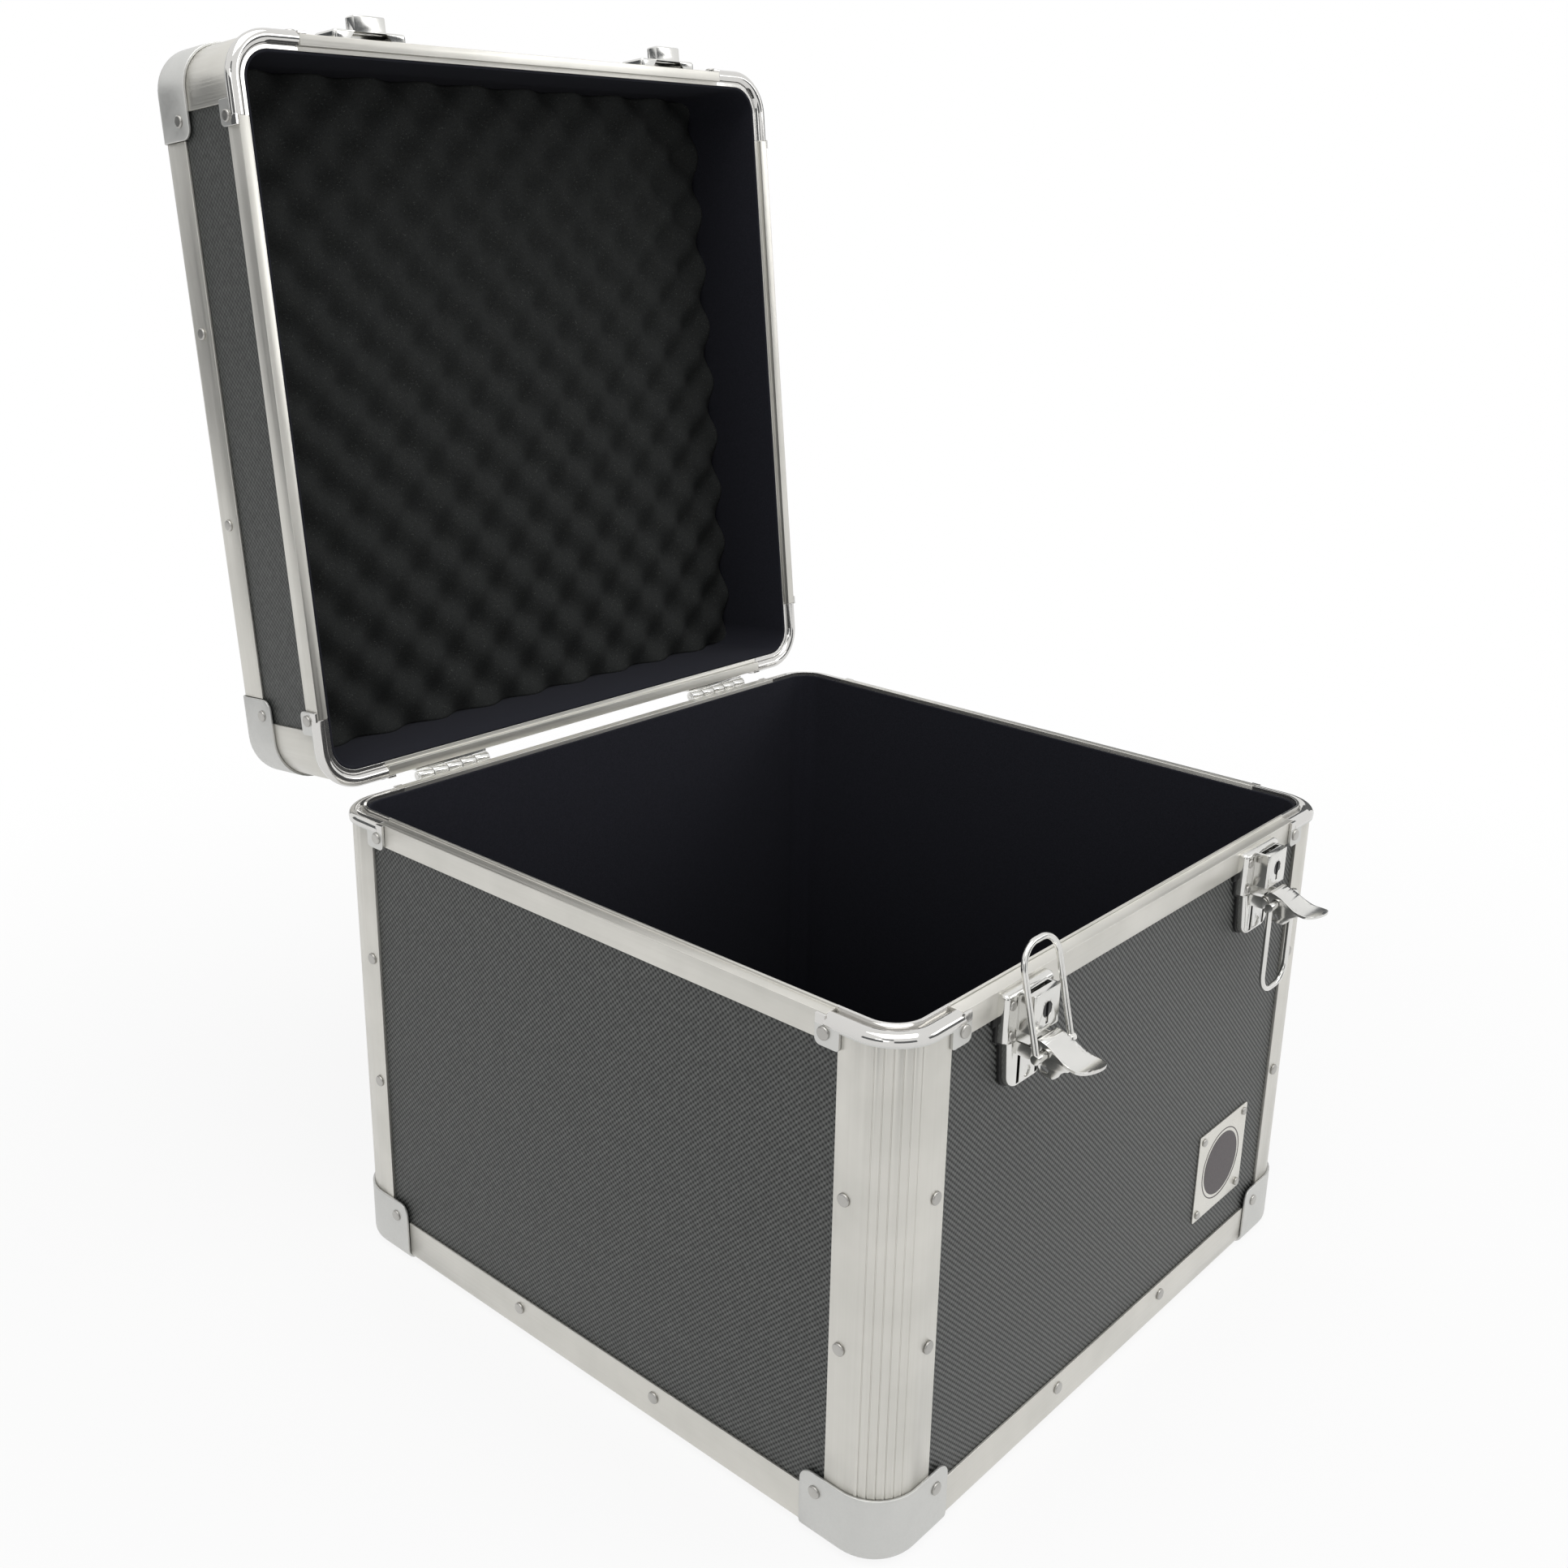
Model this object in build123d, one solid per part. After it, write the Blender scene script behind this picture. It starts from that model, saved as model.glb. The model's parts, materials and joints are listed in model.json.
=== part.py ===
"""Record carrying case: boarded box with an aluminium frame, hinged lid and two draw latches.

Millimetres. +Z is up and the front, with the latches, faces -Y. The origin is on the floor
under the middle of the base. The lid is made closed, then turned open about its hinges.

Distances called `inset` run inward from the plane of the metal corners, which are the widest
part of the case. Heights called `above` run up from the parting plane between base and lid.
"""
from build123d import *
import math
import os

# ---- Overall sizes, over the metal corners -------------------------------------------------
case_width = 390.0
case_depth = 392.0
base_height = 265.5
lid_height = 75.5
plan_radius = 25.0

# ---- Sheet and board thicknesses -----------------------------------------------------------
cap_sheet = 1.5
rail_sheet = 1.5
panel_thick = 5.0
lining_thick = 3.0
lining_hem_drop = 1.0
foam_thick = 14.0
panel_edge_round = 4.0

# ---- Frame extrusions ----------------------------------------------------------------------
edge_rail_tall = 22.7
edge_rail_deep = 22.5
edge_rail_round = 4.0
lid_rail_tall = 20.4
rim_band_tall = 12.5
lid_band_tall = 11.0
rim_flange_tall = 12.0
tongue_tall = 1.2
tongue_side_gap = 0.8
tongue_top_gap = 1.8
post_flange_reach = 35.0
post_flute_count = 6
post_flute_step = 10.0
post_flute_deep = 0.25
post_flute_radius = 0.3

# ---- Ball corners at the bottom and the top ------------------------------------------------
ball_reach = 48.5
ball_base_tall = 35.0
ball_lid_tall = 30.0
ball_round = 6.0
ball_lobe_round = 6.5
ball_floor_round = 20.0

# ---- Polished rim corners ------------------------------------------------------------------
bead_tall = 2.5
skirt_tall = 5.7
skirt_reach = 33.3
bead_reach = 42.0
tab_reach = 46.5
tab_tall = 14.3
tab_round = 3.0

# ---- Rivets --------------------------------------------------------------------------------
rivet_radius = 3.15
rivet_tall = 1.3
rivet_round = 0.8
small_rivet_radius = 2.3
tab_rivet_inset = 41.5
tab_rivet_drop = 8.1
post_rivet_inset = 29.0
post_rivet_drops = (82.5, 157.7)
ball_rivet_inset = 39.2
ball_base_rivet_rise = 26.0
ball_lid_rivet_drop = 22.0
rail_rivet_side = 51.0
rail_rivet_edge = 16.9
rail_lid_rivet_edge = 12.7

# ---- Badge plate ---------------------------------------------------------------------------
badge_size = 54.4
badge_thick = 1.0
badge_corner_round = 1.2
badge_rise = 71.4
badge_side_inset = 84.4
badge_rivet_edge = 4.2

# ---- Hinges --------------------------------------------------------------------------------
hinge_side_inset = 85.0
hinge_width = 50.0
hinge_leaf_tall = 24.0
hinge_leaf_sheet = 1.5
hinge_pin_radius = 1.5
hinge_pin_gap = 0.05
knuckle_radius = 3.0
knuckle_gap = 0.3
knuckle_side_gap = 0.4
knuckle_count = 5
stop_lug_tall = 14.0
stop_lug_gap = 0.15
lid_open_angle = 96.1
leaf_rim_gap = 0.5
hinge_rivet_step = 19.0
hinge_rivet_drop = 18.5

# ---- Draw latches --------------------------------------------------------------------------
latch_side_inset = 86.0
plate_half_width = 18.3
plate_low_half_width = 14.9
plate_foot_half_width = 12.8
plate_top_drop = 1.5
plate_step_drop = 24.0
plate_step_tall = 2.0
plate_foot_drop = 49.0
plate_proud = 3.5
plate_sheet = 1.2
plate_head_round = 2.0
plate_edge_round = 2.5
plate_foot_round = 7.0
plate_recess = 0.7
plate_recess_drops = (3.6, 25.0)
plate_recess_sides = (10.8, 16.6)
plate_rivet_side = 14.0
plate_rivet_drops = (6.8, 21.4)
ear_slot_drops = (30.0, 46.6)
dimple_drop = 43.5
dimple_radius = 2.8
lug_sheet = 1.4
lug_radius = 3.0
packer_border = 0.8
packer_ear_wide = 3.0
packer_ear_tall = 4.0

lock_half_width = 10.0
lock_foot_drop = 20.0
lock_proud = 11.8
lock_sheet = 1.4
lock_slot_offs = (5.5, 7.9)
barrel_radius = 3.6
barrel_gap = 0.05
barrel_drop = 10.7
key_slot_wide = 1.9
key_slot_drop = 17.3
barrel_back_off = 5.0
barrel_sunk = 0.3
collar_proud = 1.2
collar_gap = 0.3

pivot_off = 9.5
pivot_drop = 28.5
pivot_pin_radius = 1.2
pivot_gap = 0.05
bail_pivot_off = 16.2
bail_pivot_drop = 27.7
lever_sheet = 1.3
lever_half_width = 8.7
ear_side = 7.2
ear_sheet = 1.2
ear_gap = 0.5
lever_neck_long = 7.0
ear_pivot_round = 2.8
ear_pin_round = 2.6
ear_tail = (20.6, -35.6)
ear_tail_round = 2.2
ear_heel = (16.6, -34.6)
ear_heel_round = 2.9
ear_hole_radius = 1.5
ear_hole_long = 1.8
ear_scoop = (29.6, -37.6)
ear_scoop_radius = 6.0
ear_root_in = 0.8
ear_root_round = 0.8
# Side view of the thumb plate's upper face: (distance out, height)
lever_line = [(12.2, -21.8), (16.0, -22.6), (20.0, -24.3), (24.0, -26.6)]
lever_line += [(28.5, -28.6), (33.0, -29.2), (37.0, -28.6), (41.0, -27.3)]

bail_wire = 3.0
bail_half_width = 13.5
bail_length = 49.5
bail_corner = 11.0
bail_eye_radius = 2.2
bail_pin_radius = 1.2
bail_pin_reach = 12.0
left_bail_lean = 13.2

# ---- Strikes on the lid --------------------------------------------------------------------
strike_width = 45.0
strike_low = 1.0
strike_high = 20.0
strike_proud = 3.0
strike_sheet = 1.2
strike_round = 2.0
strike_edge_round = 1.5
mouth_half_width = 13.0
mouth_neck_half_width = 10.0
mouth_proud = 2.2
mouth_tall = 5.0
hook_half_width = 9.6
hook_proud = 10.5
hook_top = 11.9
hook_lip = 1.5
hook_round = 5.0
hook_edge_round = 1.0

# ---- Handle on the lid ---------------------------------------------------------------------
handle_spread = 124.0
handle_arm_length = 34.0
handle_grip_radius = 8.0
handle_wire_radius = 3.0
handle_foot_long = 34.0
handle_foot_wide = 30.0
handle_foot_thick = 2.0
handle_ear_gap = 0.5
handle_ear_sheet = 3.0
handle_pivot_rise = 8.0
handle_bore_gap = 0.05
handle_grip_length = 84.0
handle_grip_round = 2.5
handle_foot_round = 4.0
handle_lug_round = 5.5
handle_stub_past = 3.0
handle_bend = 5.0

# ---- Levels that follow --------------------------------------------------------------------
half_width = case_width / 2
half_depth = case_depth / 2
rail_inset = cap_sheet
panel_inset = rail_inset + rail_sheet
panel_back = panel_inset + panel_thick
lining_face = panel_back + lining_thick
flange_face = panel_back + rail_sheet
rail_top = lid_height - cap_sheet
panel_top = rail_top - rail_sheet
bar_inset = panel_back - tongue_side_gap
groove_high = tongue_tall + tongue_top_gap
lid_panel_low = groove_high + rail_sheet
lug_side = ear_side + ear_sheet / 2 + ear_gap + lug_sheet / 2
handle_pivot_z = panel_top + handle_foot_thick + handle_pivot_rise
hinge_x = half_width - hinge_side_inset
latch_x = half_width - latch_side_inset
badge_x = half_width - badge_side_inset
hinge_axis_y = half_depth + knuckle_radius + knuckle_gap
cut = 1.0
small = 0.01

SIDES = {"front": 0, "right": 90, "back": 180, "left": 270}
CORNERS = {
    "front_left": (-1, -1, 0),
    "front_right": (1, -1, 90),
    "back_right": (1, 1, 180),
    "back_left": (-1, 1, 270),
}


# ---- Placing helpers -----------------------------------------------------------------------
def side_reach(side):
    """Distance from the middle to the corner plane of a side."""
    return half_depth if side in ("front", "back") else half_width


def side_length(side):
    """Length of a side over the corners."""
    return case_width if side in ("front", "back") else case_depth


def on_side(piece, side):
    """Turn a piece drawn at the front, with Y as its inset, to a side."""
    return Rot(0, 0, SIDES[side]) * Pos(0, -side_reach(side), 0) * piece


def on_corner(piece, corner):
    """Turn a piece drawn with X and Y as insets from a corner to that corner."""
    sign_x, sign_y, turn = CORNERS[corner]
    return Pos(sign_x * half_width, sign_y * half_depth, 0) * Rot(0, 0, turn) * piece


def from_rim(piece):
    """Lift a piece drawn about the parting plane to its height."""
    return Pos(0, 0, base_height) * piece


def flipped(piece):
    """Turn a piece of the base upside down about the parting plane, for the lid."""
    return mirror(piece, about=Plane.XY)


def low_box(x_from, x_to, y_from, y_to, z_from, z_to):
    """Box between six planes."""
    size = (x_to - x_from, y_to - y_from, z_to - z_from)
    centre = ((x_from + x_to) / 2, (y_from + y_to) / 2, (z_from + z_to) / 2)
    return Pos(*centre) * Box(*size)


def rod(radius, length):
    """Round bar along X, centred."""
    return Rot(0, 90, 0) * Cylinder(radius, length)


def along_side(outline, length):
    """Bar along X from an outline of (inset, height) points, centred."""
    face = make_face(Plane.YZ * Polyline(*outline, close=True))
    return extrude(face, length / 2, both=True)


def opened(piece):
    """Turn a closed piece of the lid about the hinge line to where it rests open."""
    axis_place = Pos(0, hinge_axis_y, base_height)
    return axis_place * Rot(-lid_open_angle, 0, 0) * axis_place.inverse() * piece


# ---- Corner shapes -------------------------------------------------------------------------
def both_arms(piece):
    """A piece on one arm of a corner, with its twin on the other arm."""
    return piece + mirror(piece, about=Plane(origin=(0, 0, 0), z_dir=(1, -1, 0)))


def corner_band(outer, inner, reach, low, high):
    """Wall that follows a corner between two insets, with both arms cut off at a reach."""
    ring = Pos(plan_radius, plan_radius) * (Circle(plan_radius - outer) - Circle(plan_radius - inner))
    quarter = Pos(plan_radius / 2, plan_radius / 2) * Rectangle(plan_radius, plan_radius)
    band = extrude(Pos(0, 0, low) * (ring & quarter), high - low)
    if reach > plan_radius:
        band += both_arms(low_box(plan_radius, reach, outer, inner, low, high))
    return band


def rounded_slab(inset, low, high):
    """Slab with rounded corners that fills the plan inside an inset."""
    plan = RectangleRounded(case_width - 2 * inset, case_depth - 2 * inset, plan_radius - inset)
    return extrude(Pos(0, 0, low) * plan, high - low)


def ball_block(inset, reach, tall):
    """Block of a ball corner, its outer upright and floor edges rounded."""
    block = low_box(inset, reach, inset, reach, inset, tall)
    upright = block.edges().filter_by(Axis.Z).sort_by(lambda edge: edge.center().X + edge.center().Y)[0]
    block = fillet(upright, plan_radius - inset)
    foot = [edge for edge in block.edges().group_by(Axis.Z)[0] if edge.center().X + edge.center().Y < reach]
    return fillet(foot, ball_round - inset)


def ball_corner(tall):
    """Pressed ball corner, drawn at the floor."""
    shell = ball_block(0, ball_reach, tall) - ball_block(cap_sheet, ball_reach + cut, tall + cut)
    tops = shell.edges().group_by(Axis.Z)[-1]
    lobes = [edge for edge in tops if math.isclose(edge.length, cap_sheet, rel_tol=small)]
    shell = fillet(lobes, ball_lobe_round)
    uprights = shell.edges().filter_by(Axis.Z).sort_by(lambda edge: edge.center().X + edge.center().Y)
    return fillet(uprights[-1], ball_floor_round)


def rim_tab(low, high):
    """Riveted tab of a rim corner, rounded where it ends on the wall."""
    tab = low_box(skirt_reach, tab_reach, 0, cap_sheet, low, high)
    ends = tab.edges().filter_by(Axis.Y).sort_by(lambda edge: edge.center().X + abs(edge.center().Z))
    return fillet(ends[-1], tab_round)


def base_rim_corner():
    """Rim corner of the base: bead, skirt, tabs and the tongue's corner."""
    piece = corner_band(0, panel_back, bead_reach, -bead_tall, 0)
    piece += corner_band(0, cap_sheet, skirt_reach, -skirt_tall, -bead_tall)
    piece += corner_band(panel_back, flange_face, bead_reach, -rim_flange_tall, tongue_tall)
    return piece + both_arms(rim_tab(-tab_tall, 0))


def lid_rim_corner():
    """Rim corner of the lid: bead, skirt, tabs and the groove's corner."""
    piece = corner_band(0, bar_inset, bead_reach, 0, bead_tall)
    piece += corner_band(0, cap_sheet, skirt_reach, bead_tall, skirt_tall)
    piece += corner_band(rail_inset, bar_inset, bead_reach, bead_tall, groove_high)
    piece += corner_band(rail_inset, flange_face, bead_reach, groove_high, lid_panel_low)
    piece += corner_band(panel_back, flange_face, bead_reach, lid_panel_low, rim_flange_tall)
    return piece + both_arms(rim_tab(0, tab_tall))


def post_flutes(low, high):
    """Fine grooves up the round face of a post."""
    radius = plan_radius - rail_inset + post_flute_radius - post_flute_deep
    first = 45 - post_flute_step * (post_flute_count - 1) / 2
    flutes = []
    for number in range(post_flute_count):
        angle = math.radians(180 + first + post_flute_step * number)
        place = (plan_radius + radius * math.cos(angle), plan_radius + radius * math.sin(angle))
        flutes.append(Pos(*place, (low + high) / 2) * Cylinder(post_flute_radius, high - low + 2 * cut))
    return flutes


def base_post():
    """Fluted corner post of the base: a body between the boards and a skin with two flanges."""
    high = base_height - bead_tall
    skin_low = rail_inset + edge_rail_tall
    body = corner_band(panel_inset, panel_back, plan_radius, panel_inset, high)
    body = fillet(rounded_foot(body, 0), panel_edge_round)
    skin = corner_band(rail_inset, panel_inset, post_flange_reach, skin_low, high)
    return body + (skin - post_flutes(skin_low, high))


def lid_post():
    """Plain corner post of the lid, drawn about the parting plane."""
    body = corner_band(panel_inset, panel_back, plan_radius, lid_panel_low, panel_top)
    body = fillet(rounded_foot(body, -1), panel_edge_round)
    skin = corner_band(rail_inset, panel_inset, post_flange_reach, lid_panel_low, rail_top - lid_rail_tall)
    return body + skin


def rounded_foot(body, end):
    """Outer arc of a post's body at one end, the edge that the ball corner wraps."""
    arcs = body.edges().group_by(Axis.Z)[end].filter_by(GeomType.CIRCLE)
    return arcs.sort_by(lambda edge: edge.length)[-1]


# ---- Boards and linings --------------------------------------------------------------------
def wall_panel(side, low, high, rounded):
    """Wall board between two posts, its outer edge rounded at the end away from the rim."""
    reach = side_length(side) / 2 - plan_radius
    board = low_box(-reach, reach, panel_inset, panel_back, low, high)
    edges = board.edges().filter_by(Axis.X).group_by(Axis.Z)[rounded]
    return on_side(fillet(edges.sort_by(Axis.Y)[0], panel_edge_round), side)


def wall_lining(low, high, hem_low, hem_high):
    """Lining of the four walls, with a thin hem that covers the rim rails' flanges."""
    sheet = rounded_slab(panel_back, low, high) - rounded_slab(lining_face, low - cut, high + cut)
    hem = rounded_slab(flange_face, hem_low, hem_high)
    return sheet + (hem - rounded_slab(lining_face, hem_low - cut, hem_high + cut))


# ---- Rails ---------------------------------------------------------------------------------
def edge_rail(side, tall):
    """Angle rail over an outer edge, drawn at the floor."""
    near = rail_inset
    far = panel_inset
    deep = near + edge_rail_deep
    outline = [(near, near), (deep, near), (deep, far), (far, far), (far, near + tall), (near, near + tall)]
    rail = along_side(outline, side_length(side) - 2 * ball_reach)
    corner_edge = rail.edges().filter_by(Axis.X).sort_by(lambda edge: edge.center().Y + edge.center().Z)[0]
    return fillet(corner_edge, edge_rail_round)


def base_rim_rail(side):
    """Rail over the rim of a base wall, with its tongue standing up."""
    outline = [
        (rail_inset, 0),
        (rail_inset, -rim_band_tall),
        (panel_inset, -rim_band_tall),
        (panel_inset, -bead_tall),
        (panel_back, -bead_tall),
        (panel_back, -rim_flange_tall),
        (flange_face, -rim_flange_tall),
        (flange_face, tongue_tall),
        (panel_back, tongue_tall),
        (panel_back, 0),
    ]
    return along_side(outline, side_length(side) - 2 * bead_reach)


def lid_rim_rail(side):
    """Rail over the rim of a lid wall, with a step that clears the tongue."""
    outline = [
        (rail_inset, 0),
        (bar_inset, 0),
        (bar_inset, groove_high),
        (flange_face, groove_high),
        (flange_face, rim_flange_tall),
        (panel_back, rim_flange_tall),
        (panel_back, lid_panel_low),
        (panel_inset, lid_panel_low),
        (panel_inset, lid_band_tall),
        (rail_inset, lid_band_tall),
    ]
    return along_side(outline, side_length(side) - 2 * bead_reach)


# ---- Rivets --------------------------------------------------------------------------------
def rivet(radius, side_x, inset, height):
    """Low domed head seated on a wall at an inset."""
    head = Pos(0, 0, rivet_tall / 2) * Cylinder(radius, rivet_tall)
    head = fillet(head.edges().group_by(Axis.Z)[-1], rivet_round)
    return Pos(side_x, inset, height) * Rot(90, 0, 0) * head


def base_side_rivets(side):
    """Rivets of one side of the base."""
    half = side_length(side) / 2
    heads = []
    for hand in (-1, 1):
        tab_place = (hand * (half - tab_rivet_inset), 0, base_height - tab_rivet_drop)
        heads.append(rivet(rivet_radius, *tab_place))
        heads.append(rivet(rivet_radius, hand * (half - ball_rivet_inset), 0, ball_base_rivet_rise))
        heads.append(rivet(rivet_radius, hand * rail_rivet_side, rail_inset, rail_rivet_edge))
        for drop in post_rivet_drops:
            post_place = (hand * (half - post_rivet_inset), rail_inset, base_height - drop)
            heads.append(rivet(rivet_radius, *post_place))
    return [on_side(head, side) for head in heads]


def lid_side_rivets(side):
    """Rivets of one side of the lid, drawn about the parting plane."""
    half = side_length(side) / 2
    heads = []
    for hand in (-1, 1):
        heads.append(rivet(rivet_radius, hand * (half - tab_rivet_inset), 0, tab_rivet_drop))
        ball_place = (hand * (half - ball_rivet_inset), 0, lid_height - ball_lid_rivet_drop)
        heads.append(rivet(rivet_radius, *ball_place))
        rail_place = (hand * rail_rivet_side, rail_inset, lid_height - rail_lid_rivet_edge)
        heads.append(rivet(rivet_radius, *rail_place))
    return [on_side(head, side) for head in heads]


def hinge_rivets(height):
    """Rivets of both hinge leaves at one height from the parting plane."""
    heads = []
    for hand in (-1, 1):
        for step in (-1, 0, 1):
            side_x = hand * hinge_x + step * hinge_rivet_step
            heads.append(on_side(rivet(small_rivet_radius, side_x, 0, height), "back"))
    return heads


# ---- Hinges --------------------------------------------------------------------------------
def knuckle_spans(first):
    """Spans along X of every other knuckle, from the first or the second one."""
    width = hinge_width / knuckle_count
    spans = []
    for number in range(first, knuckle_count, 2):
        low = -hinge_width / 2 + number * width
        spans.append((low + knuckle_side_gap / 2, low + width - knuckle_side_gap / 2))
    return spans


def hinge_leaf(spans, bore, up):
    """Leaf with its knuckles, drawn at the back with Y as inset. up is 1 for the lid, -1 for the base."""
    pin_inset = -(knuckle_radius + knuckle_gap)
    band = lid_band_tall if up > 0 else rim_band_tall
    lows = sorted((up * leaf_rim_gap, up * hinge_leaf_tall))
    pads = sorted((up * band, up * hinge_leaf_tall))
    webs = sorted((up * knuckle_gap, up * knuckle_radius))
    leaf = low_box(-hinge_width / 2, hinge_width / 2, 0, hinge_leaf_sheet, *lows)
    leaf += low_box(-hinge_width / 2, hinge_width / 2, hinge_leaf_sheet, panel_inset, *pads)
    for low, high in spans:
        middle = (low + high) / 2
        leaf += low_box(low, high, pin_inset, 0, *webs)
        leaf += Pos(middle, pin_inset, 0) * rod(knuckle_radius, high - low)
    return leaf - Pos(0, pin_inset, 0) * rod(bore, hinge_width + 2 * cut)


def at_hinge(piece, hand):
    """Move a hinge part to the left (-1) or right (1) of the back, at the parting plane."""
    return from_rim(Pos(hand * hinge_x, 0, 0) * on_side(piece, "back"))


def hinge_stop(hand):
    """Lugs on the lid's knuckles that meet the base leaf when the lid is open, drawn open."""
    pin_inset = -(knuckle_radius + knuckle_gap)
    bore = Pos(0, pin_inset, 0) * rod(hinge_pin_radius + hinge_pin_gap, hinge_width)
    lugs = []
    for low, high in knuckle_spans(1):
        lug = low_box(low, high, pin_inset, -stop_lug_gap, -stop_lug_tall, 0)
        lugs.append(at_hinge(lug - bore, hand))
    return lugs


# ---- Latch ---------------------------------------------------------------------------------
def at_latch(piece, hand):
    """Move a latch part to the left (-1) or right (1) of the front, at the parting plane."""
    return from_rim(on_side(Pos(hand * latch_x, 0, 0) * piece, "front"))


def upright(sketch, off_from, off_to):
    """Plate standing on the front, from a sketch of X and height, between two distances out."""
    return Rot(90, 0, 0) * extrude(Pos(0, 0, off_from) * sketch, off_to - off_from)


def cheek(sketch, side_x, thick):
    """Thin plate across X, from a sketch of (distance out, height)."""
    plate = extrude(Pos(0, 0, -thick / 2) * sketch, thick)
    return Pos(side_x, 0, 0) * Rot(0, 0, -90) * Rot(90, 0, 0) * plate


def plate_outline():
    """Outline of the latch plate, narrower below its step."""
    step_low = plate_step_drop + plate_step_tall
    half = [
        (plate_half_width, -plate_top_drop),
        (plate_half_width, -plate_step_drop),
        (plate_low_half_width, -step_low),
        (plate_foot_half_width, -plate_foot_drop),
    ]
    other = [(-x, z) for x, z in reversed(half)]
    outline = make_face(Polyline(*half, *other, close=True))
    outline = fillet(outline.vertices().group_by(Axis.Y)[0], plate_foot_round)
    return fillet(outline.vertices().group_by(Axis.Y)[-1], plate_head_round)


def latch_plate():
    """Pressed base plate with its slots, its two lugs and the lever's pivot pin."""
    outline = plate_outline()
    plate = upright(outline, -rail_inset, plate_proud)
    plate = fillet(plate.edges().group_by(Axis.Y)[0], plate_edge_round)
    plate -= upright(offset(outline, -plate_sheet), -rail_inset - cut, plate_proud - plate_sheet)
    recess_floor = plate_proud - plate_recess
    recess_wide = plate_recess_sides[1] - plate_recess_sides[0]
    recess = Rectangle(recess_wide, plate_recess_drops[1] - plate_recess_drops[0])
    recess_height = -sum(plate_recess_drops) / 2
    slot = Rectangle(ear_sheet + 2 * ear_gap, ear_slot_drops[1] - ear_slot_drops[0])
    slot_height = -sum(ear_slot_drops) / 2
    for hand in (-1, 1):
        sunk = Pos(hand * sum(plate_recess_sides) / 2, recess_height) * recess
        plate -= upright(sunk, recess_floor, plate_proud + cut)
        through = Pos(hand * ear_side, slot_height) * slot
        plate -= upright(through, -rail_inset, plate_proud + cut)
        plate += cheek(lug_outline(), hand * lug_side, lug_sheet)
    dimple = Pos(0, -dimple_drop) * Circle(dimple_radius)
    plate -= upright(dimple, recess_floor, plate_proud + cut)
    return plate + Pos(0, -pivot_off, -pivot_drop) * rod(pivot_pin_radius, 2 * lug_side)


def lug_outline():
    """Lug that carries the pivot pin, standing out of the plate."""
    root = Rectangle(pivot_off - plate_proud, 2 * lug_radius)
    root = Pos((plate_proud + pivot_off) / 2, -pivot_drop) * root
    return root + Pos(pivot_off, -pivot_drop) * Circle(lug_radius)


def latch_packer():
    """Thin packer that fills the step between the rim band and the board under the plate."""
    outline = offset(plate_outline(), packer_border)
    piece = upright(outline, -panel_inset, -rail_inset)
    ear_place = (0, -(rim_band_tall + packer_ear_tall / 2))
    ear = Pos(*ear_place) * Rectangle(2 * (plate_half_width + packer_ear_wide), packer_ear_tall)
    piece += upright(ear, -panel_inset, -rail_inset)
    wide = case_width
    return piece - low_box(-wide, wide, -cut, panel_inset + cut, -rim_band_tall, cut)


def lock_case():
    """Lock case over the plate, open at its foot, with a slot in its top and the keyhole's slot."""
    tall = lock_foot_drop - plate_top_drop
    middle = -(lock_foot_drop + plate_top_drop) / 2
    case = upright(Pos(0, middle) * Rectangle(2 * lock_half_width, tall), plate_proud, lock_proud)
    fronts = case.edges().filter_by(Axis.Z).group_by(Axis.Y)[0]
    case = fillet(fronts, lock_sheet)
    inner = lock_half_width - lock_sheet
    roof = plate_top_drop + lock_sheet
    case -= low_box(-inner, inner, lock_sheet - lock_proud, cut - plate_proud, -2 * lock_foot_drop, -roof)
    case -= low_box(-inner, inner, -lock_slot_offs[1], -lock_slot_offs[0], -2 * roof, 0)
    case -= upright(Pos(0, -barrel_drop) * Circle(barrel_radius + barrel_gap), plate_proud, lock_proud + cut)
    slot_tall = key_slot_drop - barrel_drop
    slot = Pos(0, -(key_slot_drop + barrel_drop) / 2) * Rectangle(key_slot_wide, slot_tall)
    return case - upright(slot, lock_proud - lock_sheet - cut, lock_proud + cut)


def lock_barrel():
    """Turning barrel of the lock, held by a collar behind the case's face."""
    inner_face = lock_proud - lock_sheet
    place = Pos(0, -barrel_drop)
    barrel = upright(place * Circle(barrel_radius), barrel_back_off, lock_proud - barrel_sunk)
    barrel += upright(place * Circle(barrel_radius + collar_proud), barrel_back_off, inner_face - collar_gap)
    slit = place * Rectangle(key_slot_wide, barrel_radius * 2)
    return barrel - upright(slit, inner_face - cut, lock_proud + cut)


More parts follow.
